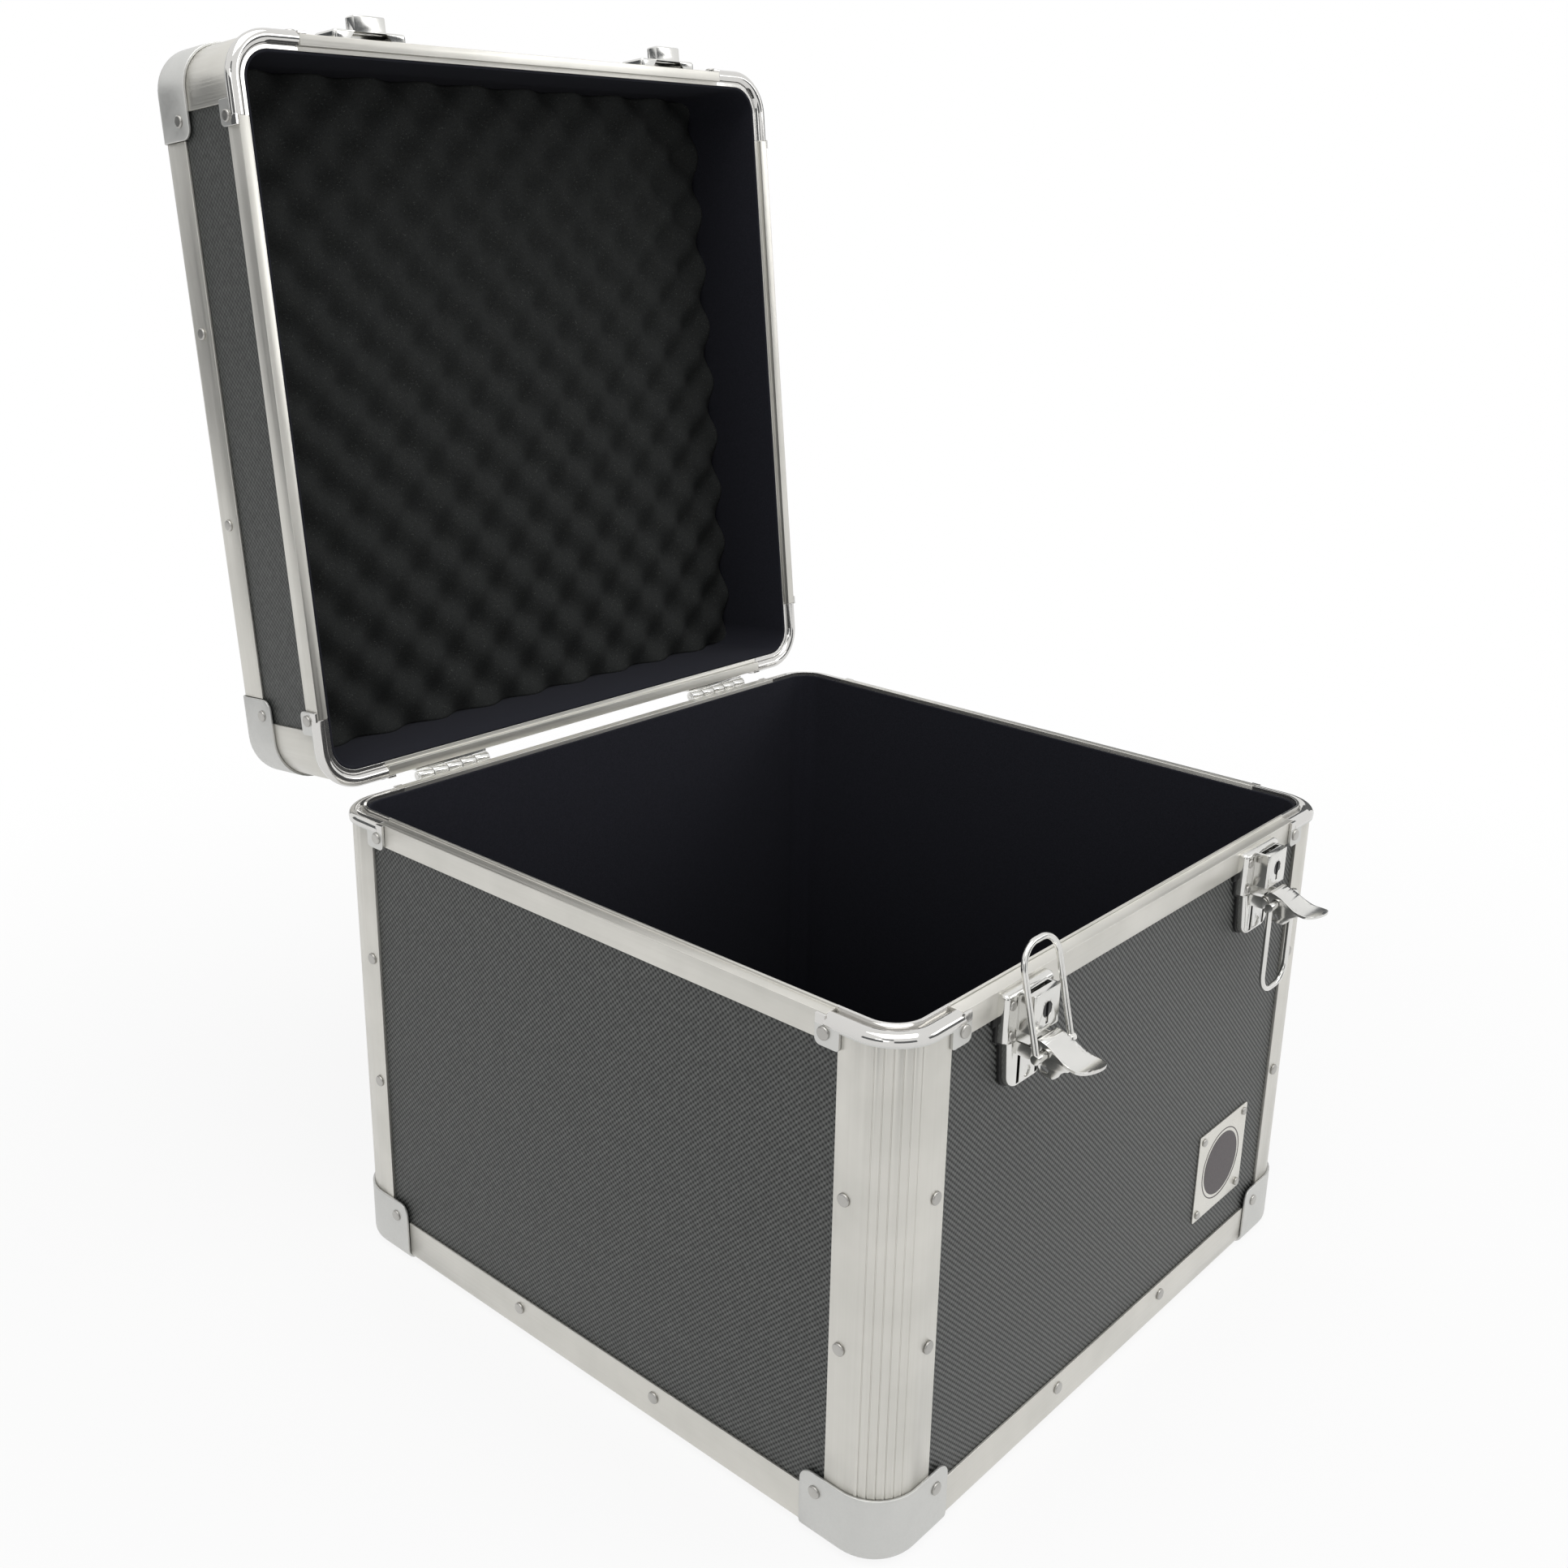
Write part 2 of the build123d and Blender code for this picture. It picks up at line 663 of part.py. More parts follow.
def lever_plate():
    """Thumb plate of the lever: a thin S-curve, narrow at the root and round at the tip."""
    top = Spline(*lever_line)
    under = Spline(*[(off, height - lever_sheet) for off, height in lever_line])
    ends = [Line(top @ 0, under @ 0), Line(top @ 1, under @ 1)]
    side_view = make_face([top, under, *ends])
    strip = cheek(side_view, 0, 2 * lever_half_width + cut)
    root_off = lever_line[0][0]
    tip_off = lever_line[-1][0]
    shoulder = tip_off - lever_half_width
    neck = root_off + lever_neck_long
    root_half = ear_side + ear_sheet / 2
    neck_end = neck + lever_neck_long
    flare = [(-lever_half_width, neck_end), (-lever_half_width, shoulder)]
    left_edge = Polyline((-root_half, root_off - cut), (-root_half, neck), *flare)
    right_edge = mirror(left_edge, about=Plane.YZ)
    tip = ThreePointArc((-lever_half_width, shoulder), (0, tip_off), (lever_half_width, shoulder))
    root = Line((-root_half, root_off - cut), (root_half, root_off - cut))
    plan = make_face([*left_edge.edges(), tip, *right_edge.edges(), root])
    prism = mirror(extrude(Pos(0, 0, -base_height) * plan, 2 * base_height), about=Plane.XZ)
    return strip & prism


def ear_outline():
    """Side cheek of the lever, round its pivot, the bail's pin and its lower end."""
    rounds = [
        Pos(pivot_off, -pivot_drop) * Circle(ear_pivot_round),
        Pos(bail_pivot_off, -bail_pivot_drop) * Circle(ear_pin_round),
        Pos(*ear_tail) * Circle(ear_tail_round),
        Pos(*ear_heel) * Circle(ear_heel_round),
    ]
    for off, height in (lever_line[0], lever_line[1], lever_line[4]):
        rounds.append(Pos(off + ear_root_in, height - lever_sheet) * Circle(ear_root_round))
    edges = [edge for piece in rounds for edge in piece.edges()]
    scoop = Pos(*ear_scoop) * Circle(ear_scoop_radius)
    hole = Pos(*ear_heel) * SlotCenterToCenter(ear_hole_long, 2 * ear_hole_radius)
    return make_hull(edges) - scoop - hole


def lever():
    """Draw lever: thumb plate and two cheeks with bores for the pivot and the bail pin."""
    piece = lever_plate()
    for hand in (-1, 1):
        piece += cheek(ear_outline(), hand * ear_side, ear_sheet)
    wide = 4 * lever_half_width
    piece -= Pos(0, -pivot_off, -pivot_drop) * rod(pivot_pin_radius + pivot_gap, wide)
    return piece - Pos(0, -bail_pivot_off, -bail_pivot_drop) * rod(bail_pin_radius + pivot_gap, wide)


def bail_pin():
    """Pin across the lever that the bail turns on."""
    return Pos(0, -bail_pivot_off, -bail_pivot_drop) * rod(bail_pin_radius, 2 * bail_pin_reach)


def bail(lean):
    """Wire bail with an eye on each leg, leaning out of upright by an angle."""
    legs = [(-bail_half_width, 0), (-bail_half_width, bail_length), (bail_half_width, bail_length),
            (bail_half_width, 0)]
    path = FilletPolyline(*legs, radius=bail_corner)
    path = Rot(90, 0, 0) * path
    section = Plane(origin=path @ 0, z_dir=path % 0) * Circle(bail_wire / 2)
    wire = sweep(section, path=path)
    inner = ear_side + ear_sheet / 2 + ear_gap
    for hand in (-1, 1):
        span = bail_half_width + bail_wire / 2 - inner
        wire += Pos(hand * (inner + span / 2), 0, 0) * rod(bail_eye_radius, span)
    wire -= rod(bail_pin_radius + pivot_gap, 2 * (bail_pin_reach + pivot_gap))
    return Pos(0, -bail_pivot_off, -bail_pivot_drop) * Rot(lean, 0, 0) * wire


# ---- Strike --------------------------------------------------------------------------------
def strike():
    """Strike on the lid: a pressed plate with a mouth at its foot, and a closed box hook on it."""
    tall = strike_high - strike_low
    middle = (strike_high + strike_low) / 2
    outline = RectangleRounded(strike_width, tall, strike_round)
    plate = upright(Pos(0, middle) * outline, -rail_inset, strike_proud)
    plate = fillet(plate.edges().group_by(Axis.Y)[0], strike_edge_round)
    inside = Pos(0, middle) * offset(outline, -strike_sheet)
    back_of_sheet = strike_proud - strike_sheet
    plate -= upright(inside, -rail_inset - cut, back_of_sheet)
    pad_tall = strike_high - lid_band_tall
    pad = Rectangle(strike_width - 2 * strike_round, pad_tall)
    plate += upright(Pos(0, strike_high - pad_tall / 2) * pad, -panel_inset, back_of_sheet)
    return plate + hook() - mouth()


def hook():
    """Box hook with a lip along the top, hollow from behind."""
    middle = (hook_top + strike_low) / 2
    outline = Pos(0, middle) * Rectangle(2 * hook_half_width, hook_top - strike_low)
    outline = fillet(outline.vertices().group_by(Axis.Y)[-1], hook_round)
    box = upright(outline, strike_proud - strike_sheet, hook_proud)
    box = fillet(box.edges().group_by(Axis.Y)[0], hook_edge_round)
    box -= upright(offset(outline, -strike_sheet), -rail_inset, hook_proud - strike_sheet)
    lip_half = hook_half_width - hook_round
    lip_inset = hook_edge_round - hook_proud
    lip = low_box(-lip_half, lip_half, lip_inset, lip_inset + strike_sheet, hook_top - cut, hook_top + hook_lip)
    return box + lip


def mouth():
    """Mouth in the foot of the strike, wider at the rail, that clears the lock case."""
    neck = -mouth_proud
    corners = [(-mouth_half_width, rail_inset), (-mouth_neck_half_width, neck)]
    corners += [(mouth_neck_half_width, neck), (mouth_half_width, rail_inset)]
    plan = make_face(Polyline(*corners, close=True))
    return Pos(0, 0, strike_low - cut) * extrude(plan, mouth_tall + cut)


# ---- Handle --------------------------------------------------------------------------------
def handle_bracket(hand):
    """Bracket of the handle: a foot on the lid's board and two lugs round the wire's end."""
    foot = Box(handle_foot_wide, handle_foot_long, handle_foot_thick)
    foot = fillet(foot.edges().filter_by(Axis.Z), handle_foot_round)
    foot = Pos(0, 0, panel_top + handle_foot_thick / 2) * foot
    rise = handle_pivot_rise
    lug = Box(handle_ear_sheet, 2 * handle_lug_round, rise)
    lug = Pos(0, 0, panel_top + handle_foot_thick + rise / 2) * lug
    lug += Pos(0, 0, handle_pivot_z) * rod(handle_lug_round, handle_ear_sheet)
    bracket = foot + lug
    bracket -= Pos(0, 0, handle_pivot_z) * rod(handle_wire_radius + handle_bore_gap, 2 * handle_foot_wide)
    return from_rim(Pos(hand * handle_spread / 2, 0, 0) * bracket)


def handle_bow():
    """Steel bow of the handle, lying towards the back and a little raised, drawn on its pivot."""
    outer = handle_spread / 2 - handle_ear_sheet / 2 - handle_ear_gap - handle_bend
    stub = handle_spread / 2 + handle_ear_sheet / 2 + handle_stub_past
    path = FilletPolyline((-stub, 0), (-outer, 0), (-outer, handle_arm_length), (outer, handle_arm_length),
                          (outer, 0), (stub, 0), radius=handle_bend)
    section = Plane(origin=path @ 0, z_dir=path % 0) * Circle(handle_wire_radius)
    return sweep(section, path=path)


def handle_sleeve():
    """Moulded sleeve on the bow's cross bar."""
    sleeve = rod(handle_grip_radius, handle_grip_length)
    sleeve = fillet(sleeve.edges(), handle_grip_round)
    return Pos(0, handle_arm_length, 0) * (sleeve - rod(handle_wire_radius, handle_grip_length + 2 * cut))


def at_handle(piece):
    """Place the bow or its sleeve on the closed lid so that it hangs straight down once open."""
    raised = lid_open_angle - 90
    return from_rim(Pos(0, 0, handle_pivot_z) * Rot(raised, 0, 0) * piece)


# ---- The case ------------------------------------------------------------------------------
def lid_piece(piece):
    """Lift a piece of the lid from the parting plane and turn it open."""
    return opened(from_rim(piece))


def base_parts():
    """Pieces of the base by node name."""
    rim = base_height
    parts = {}
    for side in SIDES:
        parts[f"base_{side}_panel"] = wall_panel(side, panel_inset, rim - bead_tall, 0)
        parts[f"base_{side}_bottom_rail"] = on_side(edge_rail(side, edge_rail_tall), side)
        parts[f"base_{side}_rim_rail"] = from_rim(on_side(base_rim_rail(side), side))
    for corner in CORNERS:
        parts[f"base_{corner}_post"] = on_corner(base_post(), corner)
    floor_high = panel_back
    lining_high = floor_high + lining_thick
    parts["base_floor_panel"] = rounded_slab(panel_back, panel_inset, floor_high)
    parts["base_floor_lining"] = rounded_slab(panel_back, floor_high, lining_high)
    flange_low = rim - rim_flange_tall
    parts["base_wall_lining"] = wall_lining(lining_high, flange_low, flange_low, rim - lining_hem_drop)
    parts["base_rim_corners"] = [from_rim(on_corner(base_rim_corner(), corner)) for corner in CORNERS]
    parts["base_ball_corners"] = [on_corner(ball_corner(ball_base_tall), corner) for corner in CORNERS]
    heads = [head for side in SIDES for head in base_side_rivets(side)]
    heads += [from_rim(head) for head in hinge_rivets(-hinge_rivet_drop)]
    for hand in (-1, 1):
        for side in (-1, 1):
            for drop in plate_rivet_drops:
                off = -(plate_proud - plate_recess)
                heads.append(at_latch(rivet(small_rivet_radius, side * plate_rivet_side, off, -drop), hand))
    parts["base_rivets"] = heads + badge_rivets()
    parts["badge_plate"] = badge_plate()
    return parts


def badge_plate():
    """Bare square plate on the front."""
    outline = RectangleRounded(badge_size, badge_size, badge_corner_round)
    plate = upright(outline, -panel_inset, badge_thick - panel_inset)
    return on_side(Pos(badge_x, 0, badge_rise) * plate, "front")


def badge_rivets():
    """Rivets in the badge plate's corners."""
    reach = badge_size / 2 - badge_rivet_edge
    inset = panel_inset - badge_thick
    heads = []
    for side_x in (-reach, reach):
        for rise in (-reach, reach):
            head = rivet(small_rivet_radius, badge_x + side_x, inset, badge_rise + rise)
            heads.append(on_side(head, "front"))
    return heads


def latch_parts():
    """Pieces of both latches by node name."""
    parts = {"latch_packers": [at_latch(latch_packer(), hand) for hand in (-1, 1)]}
    leans = {"left": -left_bail_lean, "right": 180}
    for hand, name in ((-1, "left"), (1, "right")):
        parts[f"{name}_latch_plate"] = at_latch(latch_plate(), hand)
        parts[f"{name}_lock_case"] = at_latch(lock_case(), hand)
        parts[f"{name}_lock_barrel"] = at_latch(lock_barrel(), hand)
        parts[f"{name}_lever"] = at_latch(lever(), hand)
        parts[f"{name}_bail_pin"] = at_latch(bail_pin(), hand)
        parts[f"{name}_bail"] = at_latch(bail(leans[name]), hand)
        parts[f"{name}_strike"] = opened(at_latch(strike(), hand))
    return parts


def hinge_parts():
    """Pieces of both hinges by node name."""
    pin_place = Pos(0, -(knuckle_radius + knuckle_gap), 0)
    pin = pin_place * rod(hinge_pin_radius, hinge_width)
    parts = {"hinge_pins": [at_hinge(pin, hand) for hand in (-1, 1)]}
    for hand, name in ((-1, "left"), (1, "right")):
        base_leaf = hinge_leaf(knuckle_spans(0), hinge_pin_radius, -1)
        lid_leaf = hinge_leaf(knuckle_spans(1), hinge_pin_radius + hinge_pin_gap, 1)
        parts[f"{name}_hinge_base_leaf"] = at_hinge(base_leaf, hand)
        leaf = opened(at_hinge(lid_leaf, hand))
        for lug in hinge_stop(hand):
            leaf += lug
        parts[f"{name}_hinge_lid_leaf"] = leaf
    return parts


def lid_parts():
    """Pieces of the lid by node name, turned open."""
    parts = {}
    for side in SIDES:
        parts[f"lid_{side}_panel"] = lid_piece(wall_panel(side, lid_panel_low, panel_top, -1))
    lid_low = panel_top - panel_thick
    parts["lid_top_panel"] = lid_piece(rounded_slab(panel_back, lid_low, panel_top))
    lining = wall_lining(rim_flange_tall, lid_low, groove_high, rim_flange_tall)
    parts["lid_wall_lining"] = lid_piece(lining)
    parts["lid_foam"] = lid_piece(rounded_slab(lining_face, lid_low - foam_thick, lid_low))
    parts["lid_corner_posts"] = [lid_piece(on_corner(lid_post(), corner)) for corner in CORNERS]
    parts["lid_rim_corners"] = [lid_piece(on_corner(lid_rim_corner(), corner)) for corner in CORNERS]
    parts["lid_rim_rails"] = [lid_piece(on_side(lid_rim_rail(side), side)) for side in SIDES]
    to_top = Pos(0, 0, lid_height)
    rails = [to_top * flipped(on_side(edge_rail(side, lid_rail_tall), side)) for side in SIDES]
    parts["lid_top_rails"] = [lid_piece(rail) for rail in rails]
    balls = [to_top * flipped(on_corner(ball_corner(ball_lid_tall), corner)) for corner in CORNERS]
    parts["lid_ball_corners"] = [lid_piece(ball) for ball in balls]
    heads = [head for side in SIDES for head in lid_side_rivets(side)] + hinge_rivets(hinge_rivet_drop)
    parts["lid_rivets"] = [lid_piece(head) for head in heads]
    parts["handle_brackets"] = [opened(handle_bracket(hand)) for hand in (-1, 1)]
    parts["handle_bow"] = opened(at_handle(handle_bow()))
    parts["handle_sleeve"] = opened(at_handle(handle_sleeve()))
    return parts


def save(name, piece):
    """Write one node, a single solid or a group of separate ones."""
    group = piece if isinstance(piece, list) else [piece]
    solids = [solid for shape in group for solid in shape.solids()]
    export_step(Compound(children=solids), f"parts/{name}.step")
    print(name, len(solids))


os.makedirs("parts", exist_ok=True)
for node_parts in (base_parts(), latch_parts(), hinge_parts(), lid_parts()):
    for node_name, node_piece in node_parts.items():
        save(node_name, node_piece)
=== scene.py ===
# %% [markdown]
# # A record carrying case, dressed for a picture
# The case is a boarded box with an aluminium frame. Its lid stands open on two hinges, and two
# draw latches sit on the front. The solids are already in place, one object for each piece, in
# metres, with the floor at z = 0 and the front towards -Y. This lesson gives each piece its
# finish, replaces the soft pieces with modelled ones, and sets the camera and the light.

# %% Load the solids
import json
import math

import bmesh
import bpy
from mathutils import Matrix, Vector

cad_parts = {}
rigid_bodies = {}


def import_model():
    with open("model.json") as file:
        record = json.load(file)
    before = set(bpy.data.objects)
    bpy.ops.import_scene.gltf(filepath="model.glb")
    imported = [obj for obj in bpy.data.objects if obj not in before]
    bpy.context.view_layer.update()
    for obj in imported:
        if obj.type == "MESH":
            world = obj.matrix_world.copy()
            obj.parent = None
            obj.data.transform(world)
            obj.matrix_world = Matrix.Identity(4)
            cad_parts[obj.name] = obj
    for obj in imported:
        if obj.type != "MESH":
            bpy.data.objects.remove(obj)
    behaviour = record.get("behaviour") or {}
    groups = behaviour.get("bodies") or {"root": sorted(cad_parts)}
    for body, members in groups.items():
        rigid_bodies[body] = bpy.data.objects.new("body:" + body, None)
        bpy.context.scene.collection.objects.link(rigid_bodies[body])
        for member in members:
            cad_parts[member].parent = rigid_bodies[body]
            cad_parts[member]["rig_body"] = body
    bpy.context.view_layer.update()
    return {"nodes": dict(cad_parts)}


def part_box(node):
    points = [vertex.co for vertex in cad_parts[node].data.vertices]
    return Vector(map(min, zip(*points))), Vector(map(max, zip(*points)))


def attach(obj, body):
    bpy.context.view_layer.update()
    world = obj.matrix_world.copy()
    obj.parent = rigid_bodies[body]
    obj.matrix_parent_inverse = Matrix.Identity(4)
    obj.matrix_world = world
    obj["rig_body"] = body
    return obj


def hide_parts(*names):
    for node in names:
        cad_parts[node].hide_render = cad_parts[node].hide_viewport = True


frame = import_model()
nodes = frame["nodes"]

# %% [markdown]
# ## The camera
# The case is seen from its front left corner, a little above the rim, with strong perspective.
# A camera's matrix holds its right, up and back directions as columns, so three angles and a
# place fix it. Writing the matrix avoids a chain of rotations that is hard to check. The two
# shifts slide the picture on the sensor and leave the perspective as it is.

# %% Place the camera
CAMERA_TURN, CAMERA_RISE, CAMERA_ROLL = -48.957, 17.884, 1.182      # degrees
CAMERA_PLACE = (-0.6697, -0.5460, 0.5880)
SENSOR_WIDTH, LENS = 36, 38.34      # millimetres
SHIFT = (-0.0038, -0.0367)          # in sensor widths
NEAREST_SEEN = 0.01

turn, rise, roll = (math.radians(angle) for angle in (CAMERA_TURN, CAMERA_RISE, CAMERA_ROLL))
back = Vector((math.sin(turn) * math.cos(rise), -math.cos(turn) * math.cos(rise),
               math.sin(rise)))
level = Vector((0, 0, 1)).cross(back).normalized()
upward = back.cross(level)
right = math.cos(roll) * level + math.sin(roll) * upward
above = -math.sin(roll) * level + math.cos(roll) * upward
facing = Matrix((right, above, back)).transposed().to_4x4()

camera = bpy.data.objects.new("camera", bpy.data.cameras.new("camera"))
bpy.context.scene.collection.objects.link(camera)
camera.matrix_world = Matrix.Translation(CAMERA_PLACE) @ facing
camera.data.sensor_width = SENSOR_WIDTH
camera.data.lens = LENS
camera.data.shift_x, camera.data.shift_y = SHIFT
camera.data.clip_start = NEAREST_SEEN
bpy.context.scene.camera = camera
print("camera looks down by", round(math.degrees(rise), 1), "degrees")

# %% [markdown]
# ## Small helpers
# A piece is drawn in a bmesh and then becomes an object with one finish. Its origin stays at the
# world's origin, so its own coordinates are the places in the room.

# %% Helpers for pieces and for rays
def new_piece(name, drawn, finish):
    """Object made from a drawn mesh, which is freed, with one finish."""
    made = bpy.data.objects.new(name, bpy.data.meshes.new(name))
    drawn.to_mesh(made.data)
    drawn.free()
    bpy.context.scene.collection.objects.link(made)
    made.data.materials.append(finish)
    return made


def any_ray(tree, *kinds):
    """Socket that is 1 where the ray is of any of the kinds, and 0 elsewhere."""
    rays = tree.nodes.new("ShaderNodeLightPath")
    found = rays.outputs[kinds[0]]
    for kind in kinds[1:]:
        either = tree.nodes.new("ShaderNodeMath")
        either.operation = "MAXIMUM"
        tree.links.new(found, either.inputs[0])
        tree.links.new(rays.outputs[kind], either.inputs[1])
        found = either.outputs[0]
    return found


def blended(tree, factor, first, second, output):
    """Mix two shaders by a factor and send the mix to a surface output."""
    mix = tree.nodes.new("ShaderNodeMixShader")
    tree.links.new(factor, mix.inputs["Fac"])
    tree.links.new(first.outputs[0], mix.inputs[1])
    tree.links.new(second.outputs[0], mix.inputs[2])
    tree.links.new(mix.outputs[0], output.inputs["Surface"])


# %% [markdown]
# ## The studio
# The floor is a wide white sheet. For eye, mirror and glass rays most of it glows at strength 1,
# which is plain white, and the rest is ordinary matt paint that keeps the shadow. The share of
# glow grows with the distance from the case and ends at the whole of it, so the far floor meets
# the white air without a seam. Diffuse light sees the paint alone, so the glow lights nothing.

# %% Floor
SHEET_PAINT = (0.88, 0.88, 0.88, 1)
SHEET_GLOW = 0.87                   # share of glow close to the case
GLOW_NEAR, GLOW_FAR = 0.35, 1.1     # the share grows between these distances
SHEET_HALF, SHEET_DROP = 12, 0.0005


def white_sheet(name):
    """Matt white paint that also glows for eye, mirror and glass rays."""
    material = bpy.data.materials.new(name)
    material.use_nodes = True
    tree = material.node_tree
    tree.nodes.clear()
    output = tree.nodes.new("ShaderNodeOutputMaterial")
    paint = tree.nodes.new("ShaderNodeBsdfDiffuse")
    paint.inputs["Color"].default_value = SHEET_PAINT
    light = tree.nodes.new("ShaderNodeEmission")
    place = tree.nodes.new("ShaderNodeTexCoord")
    away = tree.nodes.new("ShaderNodeVectorMath")
    away.operation = "LENGTH"
    tree.links.new(place.outputs["Object"], away.inputs[0])
    grown = tree.nodes.new("ShaderNodeMapRange")
    grown.interpolation_type = "SMOOTHSTEP"
    for socket, value in (("From Min", GLOW_NEAR), ("From Max", GLOW_FAR),
                          ("To Min", SHEET_GLOW), ("To Max", 1.0)):
        grown.inputs[socket].default_value = value
    tree.links.new(away.outputs["Value"], grown.inputs["Value"])
    share = tree.nodes.new("ShaderNodeMath")
    share.operation = "MULTIPLY"
    seen = any_ray(tree, "Is Camera Ray", "Is Glossy Ray", "Is Transmission Ray")
    tree.links.new(seen, share.inputs[0])
    tree.links.new(grown.outputs["Result"], share.inputs[1])
    blended(tree, share.outputs[0], paint, light, output)
    return material


sheet = bmesh.new()
bmesh.ops.create_grid(sheet, x_segments=1, y_segments=1, size=SHEET_HALF)
bmesh.ops.translate(sheet, vec=(0, 0, -SHEET_DROP), verts=sheet.verts)
floor = new_piece("studio_floor", sheet, white_sheet("studio_white"))
print("floor is", floor.dimensions.x, "m wide")

# %% [markdown]
# ## Light
# Soft light from a large lamp overhead and a smaller one from the front right shapes the case. A
# weak one from the front left keeps that side from going flat. Large lamps give soft shadows.

# %% Lamps
def lamp(name, place, aim, size, power):
    """Square area lamp turned towards a point."""
    data = bpy.data.lights.new(name, "AREA")
    data.shape = "SQUARE"
    data.size = size
    data.energy = power
    made = bpy.data.objects.new(name, data)
    bpy.context.scene.collection.objects.link(made)
    made.location = place
    made.rotation_euler = (Vector(aim) - Vector(place)).to_track_quat("-Z", "Y").to_euler()
    return made


lamp("overhead", (-0.3, -0.5, 3.0), (0, 0, 0.3), size=2.4, power=44)
lamp("front_right", (1.9, -2.3, 1.5), (0, 0, 0.25), size=1.4, power=17)
lamp("front_left", (-2.6, -1.0, 1.3), (0, 0, 0.25), size=1.2, power=6)

# %% [markdown]
# ## The air
# The world fills the shadows with weak light from all sides. Where the eye or a mirror looks
# into it, it is plain white, so the case stands before white and bright metal has white to mirror.

# %% World
WORLD_FILL = 0.45

world = bpy.data.worlds.new("studio_air")
bpy.context.scene.world = world
world.use_nodes = True
air = world.node_tree
fill = air.nodes["Background"]
fill.inputs["Color"].default_value = (1, 1, 1, 1)
fill.inputs["Strength"].default_value = WORLD_FILL
plain_white = air.nodes.new("ShaderNodeBackground")
plain_white.inputs["Color"].default_value = (1, 1, 1, 1)
blended(air, any_ray(air, "Is Camera Ray", "Is Glossy Ray"), fill, plain_white,
        air.nodes["World Output"])
bpy.context.scene.view_settings.view_transform = "Standard"
print("world fill", WORLD_FILL)

# %% [markdown]
# ## Something dark to mirror
# Bright metal looks like metal only when it has something dark to mirror, so dark cards stand
# round the case. Only mirror rays see them: they take no light away and no view shows them.

# %% Dark cards
dark_card = bpy.data.materials.new("dark_card")
dark_card.use_nodes = True
dark_card.node_tree.nodes.clear()
card_out = dark_card.node_tree.nodes.new("ShaderNodeOutputMaterial")
card_glow = dark_card.node_tree.nodes.new("ShaderNodeEmission")
card_glow.inputs["Color"].default_value = (0.06, 0.065, 0.07, 1)
dark_card.node_tree.links.new(card_glow.outputs[0], card_out.inputs["Surface"])


def card(name, bearing, far, width, low, high):
    """Upright dark card at a bearing round the case, in degrees from +X."""
    angle = math.radians(bearing)
    flat = bmesh.new()
    bmesh.ops.create_grid(flat, x_segments=1, y_segments=1, size=0.5)
    place = (far * math.cos(angle), far * math.sin(angle), (low + high) / 2)
    towards = Matrix.Rotation(angle + math.pi / 2, 4, "Z") @ Matrix.Rotation(math.pi / 2, 4, "X")
    sized = Matrix.Diagonal((width, high - low, 1, 1))
    bmesh.ops.transform(flat, matrix=Matrix.Translation(place) @ towards @ sized,
                        verts=flat.verts)
    made = new_piece(name, flat, dark_card)
    made.visible_camera = made.visible_diffuse = made.visible_shadow = False
    made.visible_transmission = made.visible_volume_scatter = False
    return made


cards = [card(f"card_{number}", bearing, far=2.2, width=1.5, low=0.15, high=1.1)
         for number, bearing in enumerate((15, 75, 130, 185, 240, 300))]
cards.append(card("card_high", 210, far=2.6, width=1.0, low=1.6, high=2.6))
print(len(cards), "dark cards")

# %% [markdown]
# ## Finishes
# Every finish starts from the Principled shader with its plain numbers typed on its own sockets.
# Patterns read Object coordinates, which are metres here, because every mesh lies where it
# stands. The lid was turned open by 96.1 degrees after it was made, so patterns on the lid first
# turn the coordinates back.

# %% Small helpers for node trees
OPEN_LID = math.radians(96.1)
HINGE_LINE = Vector((0, 0.1993, 0.2655))
RIM = 0.2655
LOW_END, HIGH_END = 0.3, 0.7        # noise seldom leaves this range


def start_finish(name, colour, roughness, metallic=0.0):
    """New material with its Principled shader set to plain numbers."""
    material = bpy.data.materials.new(name)
    material.use_nodes = True
    shader = material.node_tree.nodes["Principled BSDF"]
    shader.inputs["Base Color"].default_value = (*colour, 1)
    shader.inputs["Roughness"].default_value = roughness
    shader.inputs["Metallic"].default_value = metallic
    return material, shader


def put(material, kind, operation=None, **values):
    """New node with some sockets set by name."""
    made = material.node_tree.nodes.new(kind)
    if operation:
        made.operation = operation
    for key, value in values.items():
        made.inputs[key.replace("_", " ")].default_value = value
    return made


def wire(material, start, end):
    """Link two sockets."""
    material.node_tree.links.new(start, end)


def turned_place(material, turn=0.0, scale=(1, 1, 1)):
    """Object coordinates, turned back about the hinge line and then scaled."""
    place = put(material, "ShaderNodeTexCoord").outputs["Object"]
    if turn:
        shift = HINGE_LINE - Matrix.Rotation(turn, 3, "X") @ HINGE_LINE
        back_turn = put(material, "ShaderNodeMapping", Location=shift, Rotation=(turn, 0, 0))
        wire(material, place, back_turn.inputs["Vector"])
        place = back_turn.outputs["Vector"]
    sized = put(material, "ShaderNodeMapping", Scale=scale)
    wire(material, place, sized.inputs["Vector"])
    return sized.outputs["Vector"]


def noise(material, place, **values):
    """Noise at a place, as a factor."""
    made = put(material, "ShaderNodeTexNoise", **values)
    wire(material, place, made.inputs["Vector"])
    return made.outputs["Fac"]


